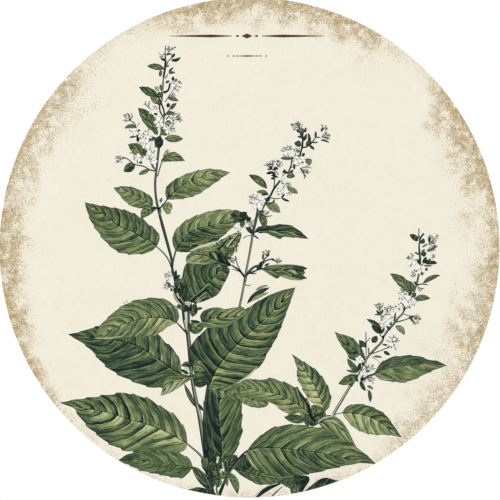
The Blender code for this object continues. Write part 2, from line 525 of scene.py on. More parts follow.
# The larger leaves. "upper" and "lower" are the outlines of their two halves from base to tip, and "middle"
# is the middle vein. "veins" is how many side veins each half has, "lean" how far along the leaf they run
# and "curl" how much they bend. "teeth" is how many teeth and how deep. "tones" is the brightness of each
# half at the base, in the middle and at the tip, and "fade" how much lighter each half gets towards its
# edge. "rib" is the width of the middle vein, and "warm" how yellow the ink is.
bigLeaves = [
    {
        "name": "leaf_top_right",
        "base": (-49.6, 28.8), "tip": (-11.4, 45.1),
        "upper": [(-50.6, 33.5), (-48.8, 37.8), (-43.8, 41.4), (-36, 44.9), (-26, 47.2), (-18, 46.8)],
        "middle": [(-44, 34.4), (-38.5, 38.3), (-33, 40.7), (-26, 43.3), (-19, 45.2)],
        "lower": [(-40, 29.3), (-31.6, 31.6), (-26.5, 34.8), (-20.5, 38.9), (-15.5, 42.6)],
        "veins": (7, 7), "lean": (0.16, 0.22), "teeth": (7, 0.5),
        "tones": ((0.34, 0.6, 0.56), (0.38, 0.57, 0.6)),
        "contrast": 0.34, "rib": 0.5, "layer": 4, "seed": 1.0,
    },
    {
        "name": "leaf_top_left",
        "base": (-58, 25.3), "tip": (-81.8, 36),
        "upper": [(-57.9, 28.5), (-60.3, 31.6), (-65.3, 34.4), (-71, 36.5), (-76.5, 36.8)],
        "middle": [(-62, 27.6), (-67, 30.6), (-73, 33.4)],
        "lower": [(-61, 24.2), (-66, 23.7), (-70.5, 24.8), (-74.5, 27.6), (-77.8, 31.3), (-79.8, 33.6)],
        "veins": (6, 6), "lean": (0.2, 0.25), "teeth": (5, 0.4),
        "tones": ((0.48, 0.49, 0.46), (0.48, 0.55, 0.54)),
        "contrast": 0.34, "rib": 0.4, "layer": 4, "seed": 2.0,
    },
    {
        "name": "leaf_node_left",
        "base": (-55, 23.8), "tip": (-65, 16.8),
        "upper": [(-58, 24.9), (-62, 25), (-64.9, 22.4), (-65.3, 19.2)],
        "middle": [(-58, 23.3), (-61.5, 22), (-63.8, 19.6)],
        "lower": [(-57.2, 21.9), (-59.6, 19.8), (-62.6, 18.3)],
        "veins": (5, 5), "lean": (0.2, 0.2),
        "tones": ((0.46, 0.55, 0.48), (0.27, 0.42, 0.5)),
        "contrast": 0.36, "rib": 0.5, "layer": 5, "seed": 3.0,
        "mesh": (28, 10),
    },
    {
        "name": "leaf_node_right",
        "base": (-48.6, 27.5), "tip": (-49.8, 19.9),
        "upper": [(-52.5, 25.6), (-51.6, 22.9)],
        "middle": [(-48.9, 25), (-49.6, 22.5)],
        "lower": [(-46.2, 25.6), (-46.9, 22.4), (-47.6, 20.6)],
        "veins": (4, 4), "lean": (0.1, 0.1), "teeth": (3, 0.7),
        "tones": ((0.56, 0.56, 0.6), (0.54, 0.64, 0.62)),
        "contrast": 0.3, "rib": 0.4, "layer": 5, "seed": 4.0,
        "mesh": (24, 8),
    },
    {
        "name": "leaf_far_left",
        "base": (-55.6, 0.9), "tip": (-98.9, 27.3),
        "upper": [
            (-53.9, 5.5), (-55.5, 10), (-60, 13.8), (-65, 17.8), (-70, 20.8), (-76, 22.9), (-81.5, 24),
            (-90, 25.4),
        ],
        "middle": [(-60, 4.3), (-65, 6.3), (-69.5, 9.3), (-75, 11.3), (-80, 14), (-85, 18), (-92, 22.8)],
        "lower": [
            (-59, -2.1), (-65, -3.9), (-74, -3.8), (-80, -1.9), (-86.3, 3.4), (-91.2, 9.7), (-95, 15.6),
            (-97.5, 22),
        ],
        "veins": (10, 8), "lean": (0.17, 0.3), "teeth": (9, 0.8),
        "tones": ((0.46, 0.42, 0.34), (0.46, 0.48, 0.42)),
        "contrast": 0.38, "rib": 0.6, "layer": 4, "seed": 5.0,
        "mesh": (84, 24),
    },
    {
        "name": "leaf_middle_right",
        "base": (-44.2, -2.2), "tip": (-6, 19.5),
        "upper": [
            (-46, 2), (-46, 7), (-44, 11), (-40, 15), (-34, 18.5), (-27, 21), (-20, 22.6), (-12, 23),
        ],
        "middle": [(-40, 4), (-36, 8.5), (-32, 11), (-26, 12.6), (-21, 13.7), (-14, 16)],
        "lower": [
            (-40, -2.8), (-36.3, -2.6), (-31, -0.2), (-25, 1.8), (-20, 3.8), (-16.5, 6.4), (-12.5, 10),
            (-8.5, 14),
        ],
        "veins": (7, 7), "lean": (0.22, 0.3), "teeth": (8, 0.5),
        "tones": ((0.4, 0.58, 0.66), (0.38, 0.36, 0.66)),
        "contrast": 0.3, "rib": 0.6, "layer": 3, "seed": 6.0,
        "mesh": (76, 24),
    },
    {
        "name": "leaf_node_two_lower",
        "base": (-35.5, -32.5), "tip": (-11.6, -12.8),
        "upper": [(-39.5, -29), (-40.6, -22), (-39.8, -14), (-37, -9), (-28, -8), (-18, -9.5)],
        "middle": [(-32, -28.5), (-27, -23.5), (-22, -18.5), (-17.5, -13.8)],
        "lower": [(-31.5, -33.3), (-25, -31.2), (-19, -28), (-15.5, -22), (-12.8, -17)],
        "veins": (7, 6), "lean": (0.34, 0.1),
        "tones": ((0.32, 0.37, 0.33), (0.26, 0.4, 0.36)),
        "contrast": 0.36, "rib": 0.7, "layer": 3, "seed": 7.0,
        "mesh": (60, 24),
    },
    {
        "name": "leaf_node_two_left",
        "base": (-10.5, -10.7), "tip": (-38.4, -8.2),
        "upper": [(-14, -6.4), (-18, -3.6), (-22.5, -1.4), (-28, -0.5), (-33, -1.9), (-37.3, -4.6)],
        "middle": [(-16, -9.2), (-21, -7.4), (-26, -5), (-31, -4.2), (-36, -5.6)],
        "lower": [(-15, -11.9), (-19, -11.2), (-24, -10.4), (-30, -10.3), (-35, -9.6)],
        "veins": (6, 5), "lean": (0.2, 0.3),
        "tones": ((0.06, 0.46, 0.42), (0.1, 0.48, 0.7)),
        "contrast": 0.4, "rib": 0.7, "layer": 5, "seed": 8.0,
        "mesh": (48, 16),
    },
    {
        "name": "leaf_node_two_top",
        "base": (-18, -6), "tip": (-4.9, 9.2),
        "upper": [(-21, -1), (-19.6, 3.2), (-14, 6.4), (-9.5, 8.6)],
        "middle": [(-18.6, -2.6), (-15, 2), (-10, 6)],
        "lower": [(-14, -8), (-10.6, -5), (-8.3, -1.5), (-6.5, 2.5), (-5, 6)],
        "veins": (5, 6), "lean": (0.1, 0.1), "teeth": (6, 0.5),
        "tones": ((0.26, 0.56, 0.6), (0.34, 0.48, 0.46)),
        "contrast": 0.4, "rib": 0.6, "layer": 4, "seed": 9.0,
        "mesh": (40, 16),
    },
    {
        "name": "leaf_left_behind",
        "base": (-40.6, -76.2), "tip": (-109, -52),
        "upper": [
            (-41.6, -68), (-45, -61.6), (-50, -56.8), (-56, -51.5), (-68, -47), (-82, -46), (-93, -47.6),
            (-101, -50.2),
        ],
        "middle": [
            (-46, -73), (-52, -69), (-58, -65), (-63, -61.5), (-70, -58), (-80, -55.6), (-92, -54),
        ],
        "lower": [
            (-46, -80), (-53, -84), (-62, -83.2), (-74, -78.6), (-82, -74.2), (-87.8, -69.6),
            (-92.5, -64.6), (-96, -60.6), (-102, -56.2),
        ],
        "veins": (9, 8), "lean": (0.12, 0.3), "teeth": (9, 0.9),
        "tones": ((0.48, 0.38, 0.38), (0.42, 0.33, 0.34)),
        "contrast": 0.3, "rib": 0.7, "layer": 3, "seed": 10.0,
        "mesh": (90, 28),
    },
    {
        "name": "leaf_left_front",
        "base": (-43.6, -45.2), "tip": (-92.8, -54.6),
        "upper": [
            (-42.2, -40.6), (-44.6, -35.2), (-49.5, -31.5), (-56.5, -30), (-63, -30.6), (-70, -32),
            (-78, -36), (-85, -42), (-90, -47.4),
        ],
        "middle": [(-50, -42.6), (-57, -42), (-64, -42.6), (-70, -44), (-78, -47), (-85, -50.4)],
        "lower": [(-49, -47.5), (-53, -50.5), (-57, -52.8), (-66, -53), (-75, -54.5), (-85, -55.1)],
        "veins": (10, 9), "lean": (0.3, 0.22), "teeth": (8, 0.6),
        "tones": ((0.42, 0.54, 0.52), (0.7, 0.5, 0.5)),
        "contrast": 0.4, "rib": 0.5, "layer": 5, "seed": 11.0,
        "mesh": (84, 24),
    },
    {
        "name": "leaf_low_left",
        "base": (-37.3, -117.6), "tip": (-114, -93),
        "upper": [
            (-38, -111), (-41, -105), (-46, -99.6), (-52, -96), (-60, -90.8), (-66, -89), (-75, -87),
            (-83, -88), (-90, -89), (-98, -90.2), (-105, -91.2),
        ],
        "middle": [
            (-43, -114.5), (-50, -110.6), (-57, -107.6), (-65, -105), (-71, -103.6), (-77, -101.5),
            (-85, -99), (-93, -97.4), (-104, -95.6),
        ],
        "lower": [
            (-38.4, -120.8), (-42, -122.9), (-48, -122.6), (-54, -122), (-62, -121.2), (-71, -122.4),
            (-78, -120.5), (-86, -116.6), (-91, -112.4), (-97, -107.6), (-103, -100.2), (-105.4, -96.4),
        ],
        "veins": (11, 9), "lean": (0.17, 0.25), "teeth": (10, 1.0),
        "tones": ((0.48, 0.42, 0.4), (0.64, 0.46, 0.4)),
        "contrast": 0.46, "rib": 0.6, "layer": 5, "seed": 12.0,
        "fade": (-0.03, -0.07), "mesh": (96, 28),
    },
    {
        "name": "leaf_low_left_behind",
        "base": (-34, -132), "tip": (-79.6, -128),
        "upper": [(-35.5, -127.4), (-40, -124), (-50, -120.5), (-62, -120), (-68, -122), (-74, -124.4)],
        "middle": [(-45, -130.6), (-57, -128.6), (-68, -127.4)],
        "lower": [
            (-37.6, -136.2), (-41, -138.3), (-48, -137.4), (-55, -136), (-65, -133.8), (-72, -130.6),
        ],
        "veins": (5, 5), "lean": (0.34, 0.3), "teeth": (8, 0.8),
        "tones": ((0.5, 0.48, 0.3), (0.4, 0.44, 0.44)),
        "contrast": 0.12, "rib": 0.3, "layer": 3, "seed": 13.0,
        "mesh": (64, 20),
    },
    {
        "name": "leaf_centre_large",
        "base": (-24.2, -82.6), "tip": (27.6, -23.8),
        "upper": [
            (-31, -79), (-34.8, -71), (-36.4, -62.8), (-34, -57), (-29.5, -52), (-24, -47.5), (-14, -43),
            (-3, -37.4), (6, -31.6), (14, -27.6), (21, -25.2),
        ],
        "middle": [
            (-20, -73.5), (-15, -66.3), (-9, -59.6), (-3, -53.6), (3, -48.6), (8, -44), (14, -38.4),
            (20, -32),
        ],
        "lower": [
            (-17, -83), (-9, -81.6), (-1, -76.4), (7, -70.4), (10.4, -64), (14, -58), (17.4, -51.6),
            (20.4, -44), (24, -34),
        ],
        "veins": (13, 13), "lean": (0.2, 0.17), "teeth": (12, 0.4),
        "tones": ((0.18, 0.4, 0.42), (0.42, 0.42, 0.42)),
        "contrast": 0.5, "rib": 0.7, "layer": 6, "seed": 14.0,
        "fade": (-0.02, -0.04), "mesh": (110, 32), "curl": 1.3,
    },
    {
        "name": "leaf_centre_flat",
        "base": (-28.8, -44.6), "tip": (-1.4, -38.8),
        "upper": [
            (-29.6, -41), (-27.6, -38), (-23.8, -36.4), (-19, -35.8), (-14.5, -36.8), (-9, -35.9),
            (-4, -35.7),
        ],
        "middle": [(-22.5, -42.6), (-15, -42.1), (-8, -41.4)],
        "lower": [(-27.6, -46.4), (-25, -48.1), (-15, -47.8), (-8.4, -44.2)],
        "veins": (6, 3), "lean": (0.35, 0.7),
        "tones": ((0.3, 0.52, 0.52), (0.44, 0.5, 0.5)),
        "contrast": 0.4, "rib": 0.5, "layer": 8, "seed": 15.0,
        "mesh": (44, 16),
    },
    {
        "name": "leaf_low_middle",
        "base": (-16.6, -125.6), "tip": (-14, -83),
        "upper": [(-22, -124.6), (-26.4, -119), (-27.4, -109), (-27, -98), (-26, -89), (-23.6, -84.4)],
        "middle": [(-16.9, -116), (-18, -106), (-18.6, -96), (-16.6, -88)],
        "lower": [(-9.6, -124.2), (-6.6, -118), (-4.4, -111), (-4.6, -105), (-4.4, -100), (-5.6, -91)],
        "veins": (4, 5), "lean": (0.5, 0.62), "teeth": (6, 0.8),
        "tones": ((0.3, 0.2, 0.22), (0.44, 0.4, 0.42)),
        "contrast": 0.36, "rib": 0.6, "layer": 3, "seed": 16.0,
        "mesh": (64, 20),
    },
    {
        "name": "leaf_low_long",
        "base": (36.6, -100.4), "tip": (-11, -82.4),
        "upper": [
            (36.2, -94), (31.6, -87.6), (27, -83.4), (20, -80.4), (13, -78.4), (5, -79.4), (0, -78.4),
            (-5, -80.4),
        ],
        "middle": [(31, -95.6), (26, -92.2), (20, -89.2), (12, -86.8), (2, -85), (-5, -83.8)],
        "lower": [(30, -99.4), (23, -99.8), (17, -95.8), (12, -92.6), (6, -91.4), (-2, -90), (-9.4, -88)],
        "veins": (12, 9), "lean": (0.2, 0.22), "teeth": (7, 0.9),
        "tones": ((0.44, 0.47, 0.54), (0.56, 0.58, 0.5)),
        "contrast": 0.4, "rib": 0.4, "layer": 7, "seed": 17.0,
        "mesh": (80, 20),
    },
    {
        "name": "leaf_low_fan",
        "base": (-24.6, -83.4), "tip": (-5.4, -89.8),
        "upper": [(-23, -82.6), (-19.5, -82.6), (-13, -82.2), (-7.4, -83), (-5.6, -86.4)],
        "middle": [(-19.5, -85), (-14, -86.6), (-9.5, -88.2)],
        "lower": [(-24, -85.6), (-21.4, -88), (-16, -91.2), (-9, -91.6)],
        "veins": (4, 4), "lean": (0.3, 0.2), "teeth": (4, 0.6),
        "tones": ((0.52, 0.5, 0.52), (0.48, 0.48, 0.52)),
        "contrast": 0.42, "rib": 0.4, "layer": 7.3, "seed": 18.0,
        "mesh": (32, 12),
    },
    {
        "name": "leaf_low_small",
        "base": (-6, -87.8), "tip": (11.6, -93.6),
        "upper": [(0, -88.4), (6, -89.8), (10, -91.6)],
        "middle": [(-1.6, -90.2), (4, -92)],
        "lower": [(-5, -92.4), (0, -95.2), (6, -96.2), (9.6, -95.4)],
        "veins": (5, 5), "lean": (0.3, 0.2), "teeth": (5, 0.4),
        "tones": ((0.5, 0.5, 0.36), (0.58, 0.58, 0.54)),
        "contrast": 0.26, "rib": 0.3, "layer": 5, "seed": 19.0,
        "mesh": (32, 12),
    },
    {
        "name": "leaf_low_upright",
        "base": (45.2, -98.6), "tip": (25.4, -63.8),
        "upper": [(39.4, -94.8), (35, -90.6), (31, -83.2), (28.4, -77.6), (28.6, -73.6), (27.4, -68.6)],
        "middle": [(43.4, -93), (41.3, -87.6), (38.6, -81.6), (35, -75.8), (31, -70.6)],
        "lower": [(47.9, -95), (48.9, -89.6), (46.8, -82.8), (43.2, -77), (38.8, -72.4), (33, -68.8)],
        "veins": (9, 8), "lean": (0.12, 0.2), "teeth": (7, 0.7),
        "tones": ((0.88, 0.66, 0.5), (0.41, 0.42, 0.4)),
        "contrast": 0.5, "rib": 0.6, "layer": 7.1, "seed": 20.0,
        "mesh": (64, 20),
    },
    {
        "name": "leaf_low_right",
        "base": (55.4, -99.2), "tip": (91.6, -114),
        "upper": [(58, -95.6), (63, -93.8), (70, -94.4), (77, -97.2), (82, -100.6), (85.8, -105.6)],
        "middle": [(63, -99.6), (70, -100.9), (76, -103.6), (83, -108.2)],
        "lower": [(58, -103), (62, -107.4), (67.4, -110.6), (74, -112.3), (83, -112.4)],
        "veins": (7, 7), "lean": (0.24, 0.22), "teeth": (7, 0.5),
        "tones": ((0.5, 0.42, 0.36), (0.74, 0.64, 0.5)),
        "contrast": 0.5, "rib": 0.5, "layer": 4, "seed": 21.0,
        "mesh": (64, 20),
    },
    {
        "name": "leaf_low_curved",
        "base": (41, -104.2), "tip": (63, -117.4),
        "upper": [(44.6, -100.9), (50, -100.7), (55, -103.8), (58.4, -108.4), (60.8, -113)],
        "middle": [(46, -104.4), (52, -106.4), (57.6, -111.4)],
        "lower": [(43, -107.4), (48, -110.6), (53.4, -113.6), (58.6, -116.6)],
        "veins": (4, 3), "lean": (0.5, 0.5),
        "tones": ((0.58, 0.47, 0.5), (0.48, 0.52, 0.52)),
        "contrast": 0.5, "rib": 0.4, "layer": 7.2, "seed": 22.0,
        "mesh": (40, 12),
    },
    {
        "name": "leaf_bottom_large",
        "base": (-1.4, -121.8), "tip": (76.4, -130),
        "upper": [
            (2, -117), (8, -111.6), (14, -108), (20, -106.6), (28, -106), (38, -107.4), (46, -108.6),
            (54, -112), (60, -115.8), (66, -121), (71, -125),
        ],
        "middle": [
            (4, -120.4), (12, -120.2), (20, -120.4), (28, -121.4), (38, -122.4), (48, -124.4),
            (58, -126.6), (68, -128.6),
        ],
        "lower": [
            (-2, -126), (3, -132), (10, -135.6), (18, -137.4), (27, -136.8), (38, -135.4), (46, -133.4),
            (54, -131.6), (64, -129.6), (70, -129.4),
        ],
        "veins": (8, 12), "lean": (0.3, 0.26), "teeth": (9, 0.7),
        "tones": ((0.36, 0.5, 0.4), (0.52, 0.37, 0.46)),
        "contrast": 0.36, "rib": 0.5, "layer": 5, "seed": 23.0,
        "mesh": (100, 28), "curl": 1.2,
    },
    {
        "name": "leaf_bottom_olive",
        "base": (-9.4, -132.8), "tip": (31, -147),
        "upper": [(-7, -129.4), (-3.2, -124.4), (5, -127), (18, -133), (28, -137)],
        "middle": [(-3, -134.4), (6, -137), (16, -139), (25, -142)],
        "lower": [(-4, -137.4), (0, -139.4), (4, -141.8), (10, -142.3), (18, -141.4), (24, -144.6)],
        "veins": (9, 8), "lean": (0.2, 0.2), "teeth": (6, 0.5),
        "tones": ((0.26, 0.42, 0.36), (0.35, 0.46, 0.4)),
        "contrast": 0.22, "rib": 0.4, "layer": 3, "seed": 24.0,
        "warm": 0.8, "mesh": (52, 16),
    },
    {
        "name": "leaf_bottom_dark",
        "base": (27, -136.4), "tip": (30, -148.6),
        "upper": [(26.4, -140), (28, -144.5)],
        "middle": [(31, -140), (31, -144)],
        "lower": [(34.8, -137), (36, -139.6), (33.6, -143.4), (31.8, -146.4)],
        "veins": (3, 3), "lean": (0.1, 0.1),
        "tones": ((0.3, 0.2, 0.3), (0.2, 0.12, 0.12)),
        "contrast": 0.2, "rib": 0.4, "layer": 4, "seed": 25.0,
        "mesh": (24, 10),
    },
    {
        "name": "leaf_bottom_edge",
        "base": (32, -146.6), "tip": (56.8, -140.6),
        "upper": [(35.6, -144), (39.4, -140.8), (43, -138.6), (46.4, -138), (51.4, -139.4)],
        "middle": [(40, -145.4), (47, -143.4), (52, -142)],
        "lower": [(38, -147), (46, -146), (53, -144)],
        "veins": (4, 3), "lean": (0.2, 0.1),
        "tones": ((0.26, 0.24, 0.2), (0.14, 0.12, 0.12)),
        "contrast": 0.2, "rib": 0.3, "layer": 4, "seed": 26.0,
        "mesh": (32, 10), "halo": False,
    },
    {
        "name": "leaf_bottom_left_edge",
        "base": (-19, -150), "tip": (-39.8, -145.6),
        "upper": [(-21, -146.6), (-25, -144.9), (-30.6, -143.7), (-35, -144.7)],
        "middle": [(-25, -147), (-31, -146), (-35.6, -145.8)],
        "lower": [(-24, -149), (-31, -148), (-36, -147)],
        "veins": (3, 3), "lean": (0.2, 0.1),
        "tones": ((0.34, 0.3, 0.3), (0.24, 0.22, 0.22)),
        "contrast": 0.2, "rib": 0.3, "layer": 4, "seed": 27.0,
        "mesh": (28, 10), "halo": False,
    },
    {
        "name": "leaf_right_large",
        "base": (74.4, -76), "tip": (118.6, -70.8),
        "upper": [(78, -70), (83, -66.5), (90, -64.9), (100, -64.8), (108, -67.2), (113.4, -68.2)],
        "middle": [(84, -72.7), (92, -71.3), (102, -70), (111, -70.1)],
        "lower": [(79, -79.4), (85, -80.2), (92.4, -81), (100, -78.6), (106, -75.6), (112, -73)],
        "veins": (5, 4), "lean": (0.3, 0.34), "teeth": (6, 0.6),
        "tones": ((0.38, 0.42, 0.3), (0.5, 0.56, 0.52)),
        "contrast": 0.16, "rib": 0.3, "layer": 4, "seed": 28.0,
        "mesh": (64, 20),
    },
]

printLeaves(bigLeaves)
print("big leaves printed:", len(bigLeaves))


